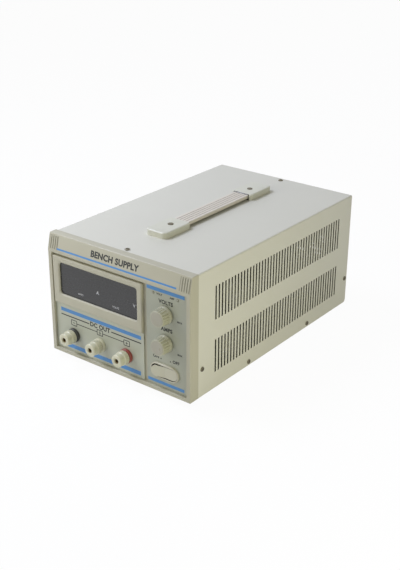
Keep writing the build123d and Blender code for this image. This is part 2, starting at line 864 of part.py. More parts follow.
def fan_frame():
    """The fan's housing: a square frame with notched corners, a round bore and a spider."""
    frame = plate(at_fan(Rectangle(fan_size, fan_size)), fan_front, rear_inner)
    corner = (fan_size - fan_notch) / 2
    for x in (-corner, corner):
        for height in (-corner, corner):
            notch = at_fan(Pos(x, height) * Rectangle(fan_notch, fan_notch))
            frame -= plate(notch, fan_front + fan_flange, rear_inner - fan_flange)
    frame -= plate(at_fan(Circle(fan_bore_radius)), fan_front - overshoot, rear_inner + overshoot)
    arm = Rectangle(fan_arm_width, 2 * (fan_bore_radius + bite))
    spider = Rot(0, 0, 45) * arm + Rot(0, 0, -45) * arm + Circle(fan_hub_radius)
    spider -= Circle(fan_spindle_radius + running_gap)
    return frame + plate(at_fan(spider), fan_front, fan_front + fan_spider)


def fan_rotor():
    """A hub with pitched blades on a spindle that runs in the spider."""
    hub_front, hub_back = fan_front + fan_spider + fan_hub_gap, rear_inner - fan_hub_gap
    length = hub_back - hub_front
    blade = Rot(fan_blade_pitch, 0, 0) * Box(fan_tip_radius, fan_blade_chord, fan_blade_thickness)
    inner = (fan_hub_radius ** 2 - (fan_blade_chord / 2) ** 2) ** 0.5 - bite
    blade = Pos(inner + fan_tip_radius / 2, 0, 0) * blade & Cylinder(fan_tip_radius, length)
    rotor = Cylinder(fan_hub_radius, length)
    rotor = joined([rotor] + [Rot(0, 0, turn * 360 / fan_blades) * blade for turn in range(fan_blades)])
    spindle = fan_spider + fan_hub_gap + bite
    rotor += Pos(0, 0, (spindle - length) / 2 - spindle + bite) * Cylinder(fan_spindle_radius, spindle)
    return facing_rear(fan_x, fan_height, (hub_front + hub_back) / 2) * rotor


def at_inlet(sketch):
    """A sketch moved to the middle of the inlet's flange."""
    return Pos(inlet_x, inlet_height) * sketch


def inlet_cavity_outline():
    """Front view of the socket: a rectangle with its two upper corners cut off."""
    half_width, half_height = inlet_cavity[0] / 2, inlet_cavity[1] / 2
    outline = rectangle(-half_width, half_width, -half_height, half_height)
    corners = [near(outline, "vertices", (x, half_height, 0)) for x in (-half_width, half_width)]
    return Pos(0, inlet_cavity_rise) * chamfer(corners, inlet_cavity_chamfer)


def mains_inlet():
    """The mains socket's moulding, with the drawer's well under the socket."""
    flange = Rectangle(*inlet_flange)
    flange = chamfer(flange.vertices(), inlet_flange_chamfer)
    inlet = plate(at_inlet(flange), rear_face, inlet_face)
    inlet += plate(at_inlet(Rectangle(*inlet_body)), rear_face - inlet_body_depth, rear_face)
    inlet -= plate(at_inlet(inlet_cavity_outline()), inlet_face - inlet_cavity_depth, inlet_face + overshoot)
    well = Rectangle(drawer_face[0] + 2 * drawer_gap, drawer_face[1] + 2 * drawer_gap)
    well = at_inlet(Pos(0, -drawer_drop) * well)
    inlet -= plate(well, inlet_face - drawer_length - drawer_gap, inlet_face + overshoot)
    return inlet - inlet_pins()


def inlet_pins():
    """The socket's three blades, the earth blade above the other two."""
    back = rear_face - inlet_body_depth - pin_tail
    places = [(-pin_spacing, -pin_offset), (0, pin_offset), (pin_spacing, -pin_offset)]
    blade = Rectangle(*pin_size)
    return [
        plate(at_inlet(Pos(x, inlet_cavity_rise + rise) * blade), back, inlet_face - pin_recess)
        for x, rise in places
    ]


def fuse_drawer():
    """The small drawer under the socket: a face with a pull notch and an open tray."""
    block = at_inlet(Pos(0, -drawer_drop) * Rectangle(*drawer_face))
    drawer = plate(block, inlet_face - drawer_length, inlet_face)
    low = inlet_height - drawer_drop - fuse_radius
    tray = Rectangle(fuse_length + 2 * fuse_gap, 2 * (fuse_radius + fuse_gap))
    drawer -= slab(Pos(inlet_x, inlet_face - drawer_length / 2) * tray, low, inlet_height)
    notch = Pos(0, (drawer_face[1] - drawer_notch[1]) / 2 - drawer_drop) * Rectangle(*drawer_notch)
    return drawer - plate(at_inlet(notch), inlet_face - drawer_notch_depth, inlet_face + overshoot)


def mains_fuse():
    """The cartridge fuse that lies across the drawer."""
    place = facing_side(1, inlet_face - drawer_length / 2, inlet_height - drawer_drop, inlet_x)
    return drilled(place, fuse_radius, -fuse_length / 2, fuse_length / 2)


# Electronics inside


def standoff_places():
    """The main board's supports as x and depth, the middle pair inside the heatsinks."""
    corner_x = board_width / 2 - standoff_inset
    middle_x = heatsink_x - transistor_size[0] - standoff_inset
    for side in (-1, 1):
        yield side * corner_x, board_front_depth + standoff_inset
        yield side * corner_x, board_rear_depth - standoff_inset
        yield side * middle_x, (board_front_depth + board_rear_depth) / 2


def main_board():
    """The main circuit board."""
    board = rectangle(-board_width / 2, board_width / 2, board_front_depth, board_rear_depth)
    return slab(board, board_top - board_thickness, board_top)


def board_standoffs():
    """Hexagon pillars between the floor and the main board."""
    pillar = RegularPolygon(standoff_radius, 6)
    return [
        slab(Pos(x, depth) * pillar, sheet, sheet + standoff_height) for x, depth in standoff_places()
    ]


def transformer_place():
    """The middle of the transformer, standing on the board."""
    return facing_up(transformer_x, transformer_depth, board_top + transformer_size[2] / 2)


def transformer_core():
    """The ferrite core: a block with two windows for the winding."""
    length, width, height = transformer_size
    core = Box(length, width - 2 * winding_bulge, height)
    window = Box(core_window[0], width, core_window[1])
    leg = length / 4
    core -= [Pos(x, 0, 0) * window for x in (-leg, leg)]
    return transformer_place() * core


def transformer_winding():
    """The taped winding round the core's middle leg."""
    length, width, height = transformer_size
    leg_half = length / 4 - core_window[0] / 2
    outer_half = length / 4 + core_window[0] / 2 - bite
    section = Rectangle(2 * outer_half, width)
    section = chamfer(section.vertices(), winding_bulge / 2)
    section -= Rectangle(2 * leg_half, width - 2 * winding_bulge)
    tall = core_window[1] - 2 * bite
    return transformer_place() * Pos(0, 0, -tall / 2) * extrude(section, amount=tall)


def bulk_capacitors():
    """Two large electrolytic capacitors standing on the board."""
    return [
        drilled(facing_up(x, capacitor_depth, board_top), capacitor_radius, 0, capacitor_height)
        for x in capacitor_xs
    ]


def heatsinks():
    """Two finned extrusions along the board's sides, fins towards the cover's slots."""
    sinks = []
    pitch = (heatsink_height - heatsink_fin) / (heatsink_fins - 1)
    for side in (-1, 1):
        inner = side * heatsink_x
        outer = side * (heatsink_x + heatsink_base)
        tip = side * (heatsink_x + heatsink_fin_reach)
        top = board_top + heatsink_height
        section = rectangle(min(inner, outer), max(inner, outer), board_top, top)
        for number in range(heatsink_fins):
            low = board_top + number * pitch
            section += rectangle(min(inner, tip), max(inner, tip), low, low + heatsink_fin)
        sinks.append(plate(section, heatsink_front_depth, heatsink_front_depth + heatsink_length))
    return sinks


def power_transistors():
    """Power devices clamped to the inner faces of the heatsinks, each on three leads."""
    thickness, width, height = transistor_size
    low = board_top + transistor_rise
    devices = []
    for side in (-1, 1):
        for number in range(transistor_count):
            depth = heatsink_front_depth + heatsink_length * (number + 0.5) / transistor_count
            middle = Pos(side * (heatsink_x - thickness / 2), depth)
            device = slab(middle * Rectangle(thickness, width), low, low + height)
            for offset in (-lead_spacing, 0, lead_spacing):
                lead = middle * Pos(0, offset) * Rectangle(*lead_size)
                device += slab(lead, board_top, low + bite)
            devices.append(device)
    return devices


def display_centre():
    """Middle of the display window as x and height."""
    return (window_left + window_right) / 2, (window_low + window_high) / 2


def display_pillar_places():
    """The pillars behind the bezel's web that carry the display board's corners."""
    x, height = display_centre()
    half_width = (display_board_width - display_pillar) / 2
    half_height = (display_board_height - display_pillar) / 2
    return [(x + sx * half_width, height + sz * half_height) for sx in (-1, 1) for sz in (-1, 1)]


def display_board():
    """The board behind the window."""
    outline = Pos(*display_centre()) * Rectangle(display_board_width, display_board_height)
    return plate(outline, display_board_depth, display_board_depth + board_thickness)


def digit_displays():
    """Two digit blocks on the display board, close behind the window."""
    x, height = display_centre()
    half = (digit_block_size[0] + digit_block_gap) / 2
    block = Rectangle(*digit_block_size)
    return [
        plate(Pos(place, height) * block, web_face + digit_gap, display_board_depth)
        for place in (x - half, x + half)
    ]


def build():
    """Every node by name."""
    nodes = {
        "front_bezel": front_bezel(),
        "front_frame": front_frame(),
        "display_surround": display_surround(),
        "display_window": display_window(),
        "output_panel": output_panel(),
        "control_panel": control_panel(),
        "status_leds": status_leds(),
        "top_cover": top_cover(),
        "base_tray": base_tray(),
        "rear_panel": rear_panel(),
        "rubber_feet": rubber_feet(),
        "handle_front_cap": handle_cap(handle_front_screw_depth, -1),
        "handle_rear_cap": handle_cap(handle_rear_screw_depth, 1),
        "handle_screws": handle_screws(),
        "strap_front_tongue": strap_tongue(strap_front_hinge, handle_front_screw_depth, -1),
        "strap_front_half": strap_length(strap_front_hinge + hinge_gap, strap_middle_hinge - hinge_gap),
        "strap_rear_half": strap_length(strap_middle_hinge + hinge_gap, strap_rear_hinge - hinge_gap),
        "strap_rear_tongue": strap_tongue(strap_rear_hinge, handle_rear_screw_depth, 1),
        "terminal_studs": terminal_studs(),
        "switch_housing": switch_housing(),
        "power_rocker": power_rocker(),
        "fan_frame": fan_frame(),
        "fan_rotor": fan_rotor(),
        "mains_inlet": mains_inlet(),
        "inlet_pins": inlet_pins(),
        "fuse_drawer": fuse_drawer(),
        "mains_fuse": mains_fuse(),
        "main_board": main_board(),
        "board_standoffs": board_standoffs(),
        "transformer_core": transformer_core(),
        "transformer_winding": transformer_winding(),
        "bulk_capacitors": bulk_capacitors(),
        "heatsinks": heatsinks(),
        "power_transistors": power_transistors(),
        "display_board": display_board(),
        "digit_displays": digit_displays(),
    }
    for name, x in zip(("negative", "ground", "positive"), terminal_xs):
        nodes[f"{name}_collar"] = terminal_collar(x)
        nodes[f"{name}_clamp_washer"] = clamp_washer(x)
        nodes[f"{name}_cap"] = terminal_cap(x)
    for name in knob_heights:
        nodes[f"{name}_pot"] = potentiometer(name)
        nodes[f"{name}_pot_shaft"] = pot_shaft(name)
        nodes[f"{name}_knob"] = control_knob(name)
    return nodes


os.makedirs("parts", exist_ok=True)
for node, shape in build().items():
    pieces = shape if isinstance(shape, list) else [shape]
    solids = [solid for piece in pieces for solid in piece.solids()]
    export_step(Compound(children=solids), f"parts/{node}.step")
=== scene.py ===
import json
from math import atan, cos, pi, radians, sin

import bmesh
import bpy
import numpy as np
from mathutils import Matrix, Vector


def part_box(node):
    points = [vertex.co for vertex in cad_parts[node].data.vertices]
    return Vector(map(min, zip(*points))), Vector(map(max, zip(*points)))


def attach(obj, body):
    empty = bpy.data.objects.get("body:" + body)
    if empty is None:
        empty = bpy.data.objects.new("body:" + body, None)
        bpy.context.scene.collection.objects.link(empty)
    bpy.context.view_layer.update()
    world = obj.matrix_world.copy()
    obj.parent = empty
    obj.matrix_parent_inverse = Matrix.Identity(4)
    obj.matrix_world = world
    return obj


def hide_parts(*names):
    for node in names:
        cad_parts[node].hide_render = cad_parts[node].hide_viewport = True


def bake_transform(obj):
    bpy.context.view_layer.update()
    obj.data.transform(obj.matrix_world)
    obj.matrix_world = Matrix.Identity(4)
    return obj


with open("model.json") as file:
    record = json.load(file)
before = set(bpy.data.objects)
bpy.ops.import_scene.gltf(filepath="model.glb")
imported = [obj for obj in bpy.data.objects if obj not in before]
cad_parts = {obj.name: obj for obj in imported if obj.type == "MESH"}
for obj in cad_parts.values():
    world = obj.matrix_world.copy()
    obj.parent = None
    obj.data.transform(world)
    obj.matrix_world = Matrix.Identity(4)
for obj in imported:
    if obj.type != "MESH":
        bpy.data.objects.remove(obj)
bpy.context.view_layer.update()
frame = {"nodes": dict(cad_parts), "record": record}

# Lengths are written in millimetres and made metres with MM. As in the solid model, x runs to the
# right, a depth is measured back from the bezel's face and a height up from the case floor.
MM = 0.001
bezel_low, bezel_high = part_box("front_bezel")
cover_low, cover_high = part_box("top_cover")
FRONT = bezel_low.y / MM
FLOOR = cover_low.z / MM
PANEL_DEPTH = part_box("output_panel")[0].y / MM - FRONT
COVER_HALF = cover_high.x / MM
COVER_TOP = cover_high.z / MM - FLOOR
REAR_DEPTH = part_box("rear_panel")[1].y / MM - FRONT

# The title strip leans back from this height on, by this much over this rise
LEAN_LOW = 128.9
LEAN_RISE = 19.0
LEAN_BACK = 4.45
LEAN = atan(LEAN_BACK / LEAN_RISE)
PRINT_PROUD = 0.05

# Print on the front: from x, to x, height and thickness of each stripe or rule
TITLE_RULE = (-90.8, 84.4, 131.5, 2.0)
BLUE_STRIPES = (
    (-90.0, 32.4, 56.1, 4.6),
    (-90.0, 31.2, 11.3, 5.2),
    (41.8, 93.5, 121.9, 4.1),
    (41.8, 93.0, 10.6, 3.8),
)
BLACK_RULES = (
    (-90.0, -45.6, 49.5, 1.4),
    (-11.8, 32.4, 49.5, 1.4),
)
OUTLET_HEIGHT = 42.9
OUTLET_RULES = ((-65.6, -33.9), (-25.1, 6.6))
OUTLET_BOX = (8.4, 6.4)
OUTLET_LINE = 0.95

# Words on the front: text, x, height, letter height
PANEL_WORDS = (
    ("DC OUT", -29.1, 49.9, 5.4),
    ("VOLTS", 68.0, 109.3, 4.4),
    ("AMPS", 69.0, 77.6, 4.4),
    ("ON", 53.7, 41.3, 3.6),
    ("OFF", 81.5, 41.7, 3.6),
    ("VOLT", 59.4, 116.8, 2.1),
    ("AMP", 76.6, 116.8, 2.1),
    ("MAX", 86.8, 91.6, 2.1),
    ("MAX", 87.0, 52.7, 2.1),
)
TITLE = ("BENCH SUPPLY", -3.4, 138.4, 6.8)
WINDOW_WORDS = (
    ("A", -30.3, 92.4, 4.0),
    ("V", 23.5, 92.4, 4.0),
    ("AMPS", -56.9, 82.9, 2.2),
    ("VOLTS", -3.8, 82.4, 2.2),
)
ARROWS = ((60.7, 40.7), (73.8, 41.0))


def middle_of(node):
    """Where a node's box has its middle, as x and height."""
    low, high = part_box(node)
    return (low.x + high.x) / 2 / MM, (low.z + high.z) / 2 / MM - FLOOR


KNOBS = {name: middle_of(f"{name}_knob") for name in ("voltage", "current")}
TERMINALS = {name: middle_of(f"{name}_cap")[0] for name in ("negative", "ground", "positive")}
TERMINAL_HEIGHT = middle_of("ground_cap")[1]
lamps_low, lamps_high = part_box("status_leds")
LAMP_FLANGE = (lamps_high.z - lamps_low.z) / 2 / MM
LAMPS = tuple(
    (x / MM + side * LAMP_FLANGE, middle_of("status_leds")[1])
    for x, side in ((lamps_low.x, 1), (lamps_high.x, -1))
)

# The rocker's pocket: half its straight length and its round ends; the housing's face; and the
# spacing of the grooves along the strap
POCKET_LENGTH, POCKET_HEIGHT = 36.2, 15.0
CAP_LENGTH, CAP_HEIGHT = 34.4, 13.8
ROCKER_STRAIGHT, ROCKER_ROUND = (POCKET_LENGTH - POCKET_HEIGHT) / 2, POCKET_HEIGHT / 2
SWITCH_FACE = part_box("switch_housing")[0].y / MM - FRONT
GROOVE_PITCH = 4.2

# The display's opening: its margins inside the surround at the left, right, bottom and top, the
# bevel round it, and the radius of its corners
OPENING_MARGINS = (10.5, 7.7, 13.0, 7.5)
OPENING_BEVEL = 1.2
OPENING_LIFT = 0.02
OPENING_ROUND = 3.0

# Upright grip ribs at both ends of the title strip: first and last place of a rib, and its width
GRIP_PLACES = (90.2, 99.8, 4)
GRIP_RIB = 1.7
GRIP_HEIGHTS = (130.2, 145.6)
GRIP_PITCH = (GRIP_PLACES[1] - GRIP_PLACES[0]) / (GRIP_PLACES[2] - 1)
COVER_SCREWS_SIDE = ((21.8, 33.5), (110.0, 4.8), (235.4, 4.8), (323.5, 35.0))
COVER_SCREWS_TOP = (20.5, 321.5)
HANDLE_SCREWS = (94.9, 251.4)
FAN_SCREWS = tuple((44.0 + sx * 35.75, 88.0 + sz * 35.75) for sx in (-1, 1) for sz in (-1, 1))
INLET_SCREWS = ((-78.0, 44.0), (-38.0, 44.0))


# Shader maths


class Signal:
    """A value that flows between nodes; each operator adds the Math node for it."""

    def __init__(self, finish, socket):
        self.finish, self.socket = finish, socket

    def maths(self, operation, *values):
        """This value, and any others after it, through one Math node."""
        inputs = dict(enumerate((self, *values)))
        return self.finish.node("ShaderNodeMath", {"operation": operation}, inputs)

    def __add__(self, other):
        return self.maths("ADD", other)

    def __sub__(self, other):
        return self.maths("SUBTRACT", other)

    def __rsub__(self, other):
        return self * -1.0 + other

    def __mul__(self, other):
        return self.maths("MULTIPLY", other)

    def __gt__(self, other):
        return self.maths("GREATER_THAN", other)

    def __lt__(self, other):
        return self.maths("LESS_THAN", other)

    __radd__, __rmul__ = __add__, __mul__


class Finish:
    """One material: a Principled shader and the nodes that feed it."""

    def __init__(self, name, **plain):
        self.material = bpy.data.materials.new(name)
        self.material.use_nodes = True
        self.tree = self.material.node_tree
        self.shader = self.tree.nodes["Principled BSDF"]
        for socket, value in plain.items():
            self.shader.inputs[socket.replace("_", " ")].default_value = value

    def node(self, kind, settings=None, inputs=None, output=0):
        """Adds a node, sets it up, then feeds its sockets with values or signals."""
        made = self.tree.nodes.new(kind)
        for key, value in (settings or {}).items():
            if key == "stops":
                ramp = made.color_ramp
                while len(ramp.elements) < len(value):
                    ramp.elements.new(0.5)
                for element, (place, colour) in zip(ramp.elements, value):
                    element.position, element.color = place, colour
            else:
                setattr(made, key, value)
        for key, value in (inputs or {}).items():
            self.feed(made.inputs[key], value)
        return Signal(self, made.outputs[output])

    def feed(self, target, value):
        if isinstance(value, Signal):
            self.tree.links.new(value.socket, target)
        else:
            target.default_value = value

    def place(self):
        """Where a point lies on the object, in metres."""
        return self.node("ShaderNodeTexCoord", output=3)

    def axes(self):
        """The three coordinates of a point as numbers."""
        split = self.node("ShaderNodeSeparateXYZ", inputs={0: self.place()})
        node = split.socket.node
        return [Signal(self, node.outputs[number]) for number in range(3)]

    def noise(self, scale, detail=2.0, where=None):
        inputs = {"Vector": where or self.place(), "Scale": scale, "Detail": detail}
        return self.node("ShaderNodeTexNoise", inputs=inputs)

    def stretched(self, scale):
        """Places multiplied axis by axis, to draw a pattern out along one of them."""
        inputs = {0: self.place(), 1: scale}
        return self.node("ShaderNodeVectorMath", {"operation": "MULTIPLY"}, inputs)

    def blend(self, factor, first, second):
        return self.node("ShaderNodeMix", {"data_type": "RGBA"}, {0: factor, 6: first, 7: second}, 2)

    def wear(self, target, signal):
        self.feed(self.shader.inputs[target], signal)

    def relief(self, height, distance, strength=1.0):
        """Raises the surface by a height signal times a distance in metres."""
        inputs = {"Strength": strength, "Distance": distance, "Height": height}
        self.wear("Normal", self.node("ShaderNodeBump", inputs=inputs, output=0))


def shade(red, green, blue, alpha=1.0):
    """A colour given as it looks on screen, from 0 to 255, as linear light."""
    values = np.array((red, green, blue)) / 255
    linear = np.where(values <= 0.04045, values / 12.92, ((values + 0.055) / 1.055) ** 2.4)
    return (*(float(value) for value in linear), alpha)


def tinted(colour, factor):
    """The same colour, lighter or darker."""
    return (*(min(channel * factor, 1.0) for channel in colour[:3]), 1.0)


def moulded(name, colour, roughness=0.42, grain=1800.0, depth=0.00003, mottle=0.05, coat=0.0):
    """Moulded plastic: a fine spark-eroded grain, faint mottling and uneven gloss."""
    finish = Finish(name, Coat_Weight=coat, Coat_Roughness=0.15)
    cloud = finish.noise(38.0, 3.0)
    colour_now = finish.blend(cloud, tinted(colour, 1 - mottle), tinted(colour, 1 + mottle))
    finish.wear("Base Color", colour_now)
    finish.wear("Roughness", finish.noise(90.0, 4.0) * 0.16 + (roughness - 0.08))
    finish.relief(finish.noise(grain, 2.0), depth)
    return finish.material


def metal(name, colour, roughness=0.3, stretch=(60.0, 1500.0, 60.0), depth=0.00001):
    """Drawn or rolled metal: long fine scratches one way, with dull and bright patches."""
    finish = Finish(name, Metallic=1.0)
    streak = finish.noise(1.0, 4.0, finish.stretched(stretch))
    patch = finish.noise(55.0, 3.0)
    finish.wear("Base Color", finish.blend(patch, tinted(colour, 0.86), tinted(colour, 1.1)))
    finish.wear("Roughness", streak * 0.25 + patch * 0.1 + (roughness - 0.15))
    finish.relief(streak, depth)
    return finish.material


def cover_corner():
    """The round of the cover's long upper edges: how far its upright side ends below the top."""
    mesh = frame["nodes"]["top_cover"].data
    points = np.zeros(len(mesh.vertices) * 3)
    mesh.vertices.foreach_get("co", points)
    points = points.reshape(-1, 3) / MM
    upright = points[np.abs(points[:, 0]) > COVER_HALF - 0.02]
    return float(points[:, 2].max() - upright[:, 2].max())


def under_skin(finish):
    """How far a point lies under the cover's outer skin, in millimetres.

    It is the radius of the cover's round edge less the point's distance from that round's axis.
    """
    round_edge = cover_corner()
    x, _, z = finish.axes()
    across = (x.maths("ABSOLUTE") * (1 / MM) - (COVER_HALF - round_edge)).maths("MAXIMUM", 0.0)
    rise = (z * (1 / MM) - (FLOOR + COVER_TOP - round_edge)).maths("MAXIMUM", 0.0)
    return round_edge - (across * across + rise * rise).maths("SQRT")


def sheet_paint(name, painted_slot_shade=False):
    """Powder coat over sheet steel: a close orange-peel skin, and if asked painted shade on the slot walls
    behind the cover's face.
    """
    colour = shade(206, 204, 188)
    finish = Finish(name, Coat_Weight=0.12, Coat_Roughness=0.3)
    cloud = finish.noise(9.0, 4.0)
    skin = finish.blend(cloud, tinted(colour, 0.97), tinted(colour, 1.03))
    if painted_slot_shade:
        # Painted shade: points more than 0.2 mm under the outer skin, the walls of the slots, are dark.
        skin = finish.blend(under_skin(finish) > 0.2, skin, shade(72, 71, 56))
    finish.wear("Base Color", skin)
    peel = finish.noise(1400.0, 2.0)
    finish.wear("Roughness", finish.noise(45.0, 3.0) * 0.12 + 0.40)
    finish.relief(peel, 0.00003, 0.6)
    return finish.material


def bezel_plastic():
    """The bezel's plastic, with painted shade between the upright ribs at both ends of its title strip."""
    colour = shade(176, 172, 149)
    finish = Finish("bezel_plastic", Coat_Weight=0.1, Coat_Roughness=0.3)
    x, _, z = finish.axes()
    place = x.maths("ABSOLUTE") * (1 / MM)
    height = z * (1 / MM) - FLOOR
    first, last, _ = GRIP_PLACES
    band = (place > first - GRIP_PITCH) * (place < last + GRIP_PITCH)
    band = band * (height > GRIP_HEIGHTS[0]) * (height < GRIP_HEIGHTS[1])
    step = (place - first + 10 * GRIP_PITCH).maths("PINGPONG", GRIP_PITCH / 2)
    # Painted shade: the strips between the grip ribs are darker.
    groove_shade = (step > GRIP_RIB / 2 - 0.05) * band
    cloud = finish.noise(30.0, 3.0)
    plain = finish.blend(cloud, tinted(colour, 0.96), tinted(colour, 1.04))
    finish.wear("Base Color", finish.blend(groove_shade, plain, tinted(colour, 0.68)))
    finish.wear("Roughness", finish.noise(80.0, 3.0) * 0.14 + 0.38)
    finish.relief(finish.noise(1700.0, 2.0), 0.00003)
    return finish.material


def switch_plastic():
    """The switch housing's plastic: the walls of its pocket, a slot with round ends, are painted dark as
    shade.
    """
    colour = shade(186, 182, 160)
    finish = Finish("switch_plastic", Coat_Weight=0.1, Coat_Roughness=0.25)
    x, y, z = finish.axes()
    centre_x, centre_height = middle_of("switch_housing")
    across = ((x * (1 / MM) - centre_x).maths("ABSOLUTE") - ROCKER_STRAIGHT).maths("MAXIMUM", 0.0)
    rise = z * (1 / MM) - (FLOOR + centre_height)
    reach = (across * across + rise * rise).maths("SQRT")
    # Painted shade on the pocket's walls, behind the housing's face.
    pocket_shade = (reach < ROCKER_ROUND + 0.2) * (y > (FRONT + SWITCH_FACE + 0.25) * MM)
    cloud = finish.noise(70.0, 3.0)
    plain = finish.blend(cloud, tinted(colour, 0.96), tinted(colour, 1.04))
    finish.wear("Base Color", finish.blend(pocket_shade, plain, shade(38, 36, 30)))
    finish.wear("Roughness", finish.noise(90.0, 3.0) * 0.14 + 0.34)
    finish.relief(finish.noise(1900.0, 2.0), 0.00002)
    return finish.material


def rocker_plastic():
    """The rocker's plastic, with painted shade down the wall of its cap, which has round ends like its
    pocket.
    """
    colour = shade(190, 187, 164)
    finish = Finish("rocker_plastic", Coat_Weight=0.1, Coat_Roughness=0.25)
    x, y, z = finish.axes()
    centre_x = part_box("power_rocker")[1].x / MM - CAP_LENGTH / 2
    straight = (CAP_LENGTH - CAP_HEIGHT) / 2
    across = ((x * (1 / MM) - centre_x).maths("ABSOLUTE") - straight).maths("MAXIMUM", 0.0)
    rise = z * (1 / MM) - (FLOOR + middle_of("power_rocker")[1])
    reach = (across * across + rise * rise).maths("SQRT")
    # Painted shade on the cap's wall where it sinks into the pocket.
    sunk_shade = (reach > CAP_HEIGHT / 2 - 0.25) * (y > (FRONT + SWITCH_FACE - 1.2) * MM)
    cloud = finish.noise(70.0, 3.0)
    plain = finish.blend(cloud, tinted(colour, 0.97), tinted(colour, 1.03))
    finish.wear("Base Color", finish.blend(sunk_shade, plain, shade(44, 42, 34)))
    finish.wear("Roughness", finish.noise(90.0, 3.0) * 0.14 + 0.3)
    finish.relief(finish.noise(1900.0, 2.0), 0.00002)
    return finish.material


def handle_plastic():
    """The handle caps' plastic, with painted shade inside the mouths that the strap runs into."""
    colour = shade(204, 203, 184)
    finish = Finish("handle_plastic", Coat_Weight=0.05, Coat_Roughness=0.3)
    x, y, z = finish.axes()
    strap_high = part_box("strap_front_half")[1]
    band = x.maths("ABSOLUTE") < strap_high.x + 0.9 * MM
    band = band * (z < strap_high.z + 0.9 * MM)
    front_mouth, rear_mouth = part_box("handle_front_cap")[1].y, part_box("handle_rear_cap")[0].y
    depth = 16.0 * MM
    # Painted shade inside the mouths of the caps, round the strap.
    inside = (y > front_mouth - depth) * (y < rear_mouth + depth) * band
    cloud = finish.noise(38.0, 3.0)
    plain = finish.blend(cloud, tinted(colour, 0.96), tinted(colour, 1.04))
    finish.wear("Base Color", finish.blend(inside, plain, shade(52, 50, 40)))
    finish.wear("Roughness", finish.noise(90.0, 4.0) * 0.16 + 0.34)
    finish.relief(finish.noise(1800.0, 2.0), 0.00003)
    return finish.material


def strap_vinyl():
    """The strap's vinyl: dusty pores, and painted shade in the four grooves along its top."""
    colour = shade(214, 207, 190)
    finish = Finish("strap_vinyl")
    x, _, z = finish.axes()
    strap_low, strap_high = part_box("strap_front_half")
    place = x.maths("ABSOLUTE") * (1 / MM)
    # Painted shade in the grooves along the strap's top.
    groove_shade = place.maths("PINGPONG", GROOVE_PITCH / 2) > GROOVE_PITCH / 2 - 0.5
    groove_shade = groove_shade * (place < GROOVE_PITCH * 2) * (z > (strap_low.z + strap_high.z) / 2)
    bloom = finish.noise(60.0, 4.0)
    plain = finish.blend(bloom, tinted(colour, 0.94), tinted(colour, 1.06))
    finish.wear("Base Color", finish.blend(groove_shade, plain, shade(168, 156, 138)))
    finish.wear("Roughness", bloom * 0.15 + 0.43)
    finish.relief(finish.noise(2200.0, 3.0), 0.00004)
    return finish.material


def printed_film():
    """The printed front film: very fine matt grain, faint cloudiness.

    The control panel's film carries painted shade: it is greyer than the output panel's, and darker still
    along its right edge.
    """
    colour = shade(178, 180, 160)
    finish = Finish("panel_film", Coat_Weight=0.08, Coat_Roughness=0.35)
    cloud = finish.noise(14.0, 3.0)
    x, _, _ = finish.axes()
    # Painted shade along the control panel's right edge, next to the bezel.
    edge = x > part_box("control_panel")[1].x - 1.1 * MM
    plain = finish.blend(cloud, tinted(colour, 0.96), tinted(colour, 1.03))
    # Painted shade: the control panel's film is made greyer.
    greyer_shade = finish.blend(cloud, tinted(colour, 0.80), tinted(colour, 0.86))
    film = finish.blend(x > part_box("control_panel")[0].x, plain, greyer_shade)
    finish.wear("Base Color", finish.blend(edge, film, tinted(colour, 0.6)))
    finish.wear("Roughness", finish.noise(120.0, 3.0) * 0.12 + 0.36)
    finish.relief(finish.noise(2600.0, 1.0), 0.00002)
    return finish.material


def ink(name, colour):
    """Screen print: a thin even layer with slightly uneven density."""
    finish = Finish(name)
    density = finish.noise(260.0, 4.0)
    finish.wear("Base Color", finish.blend(density, tinted(colour, 0.9), tinted(colour, 1.08)))
    finish.wear("Roughness", density * 0.1 + 0.42)
    finish.relief(finish.noise(3000.0, 1.0), 0.00001)
    return finish.material


def smoked_window():
    """Smoked acrylic over the dark display, with faint haze and wipe marks."""
    colour = shade(37, 37, 38)
    finish = Finish("smoked_window", Coat_Weight=0.3, Coat_Roughness=0.08)
    haze = finish.noise(22.0, 3.0)
    wipe = finish.noise(1.0, 3.0, finish.stretched((40.0, 40.0, 700.0)))
    finish.wear("Base Color", finish.blend(haze, tinted(colour, 0.82), tinted(colour, 1.12)))
    finish.wear("Roughness", wipe * 0.08 + 0.24)
    finish.relief(finish.noise(160.0, 1.0), 0.000008)
    return finish.material


def board_laminate():
    """Circuit board: green resist over a faint weave, with lighter copper runs beneath."""
    finish = Finish("board_laminate", Coat_Weight=0.3, Coat_Roughness=0.2)
    x, y, z = finish.axes()
    runs = finish.node("ShaderNodeTexBrick", inputs={"Vector": finish.place(), "Scale": 120.0}, output=1)
    weave = (x * 5200.0).maths("SINE") * (y * 5200.0).maths("SINE")
    finish.wear("Base Color", finish.blend(runs, shade(30, 92, 52), shade(46, 120, 66)))
    finish.wear("Roughness", weave * 0.05 + 0.4)
    finish.relief(weave, 0.00001)
    return finish.material


def rubber(name, colour, roughness=0.7):
    """Soft rubber: dull, with fine pores and a dusty bloom."""
    finish = Finish(name)
    bloom = finish.noise(60.0, 4.0)
    finish.wear("Base Color", finish.blend(bloom, tinted(colour, 0.88), tinted(colour, 1.12)))
    finish.wear("Roughness", bloom * 0.15 + (roughness - 0.07))
    finish.relief(finish.noise(2200.0, 3.0), 0.00004)
    return finish.material


def fuse_glass():
    """The fuse's glass tube, faintly clouded."""
    finish = Finish("fuse_glass", Transmission_Weight=0.7, IOR=1.5)
    haze = finish.noise(300.0, 3.0)
    finish.wear("Base Color", finish.blend(haze, shade(205, 215, 215), shade(235, 240, 240)))
    finish.wear("Roughness", haze * 0.2 + 0.05)
    return finish.material


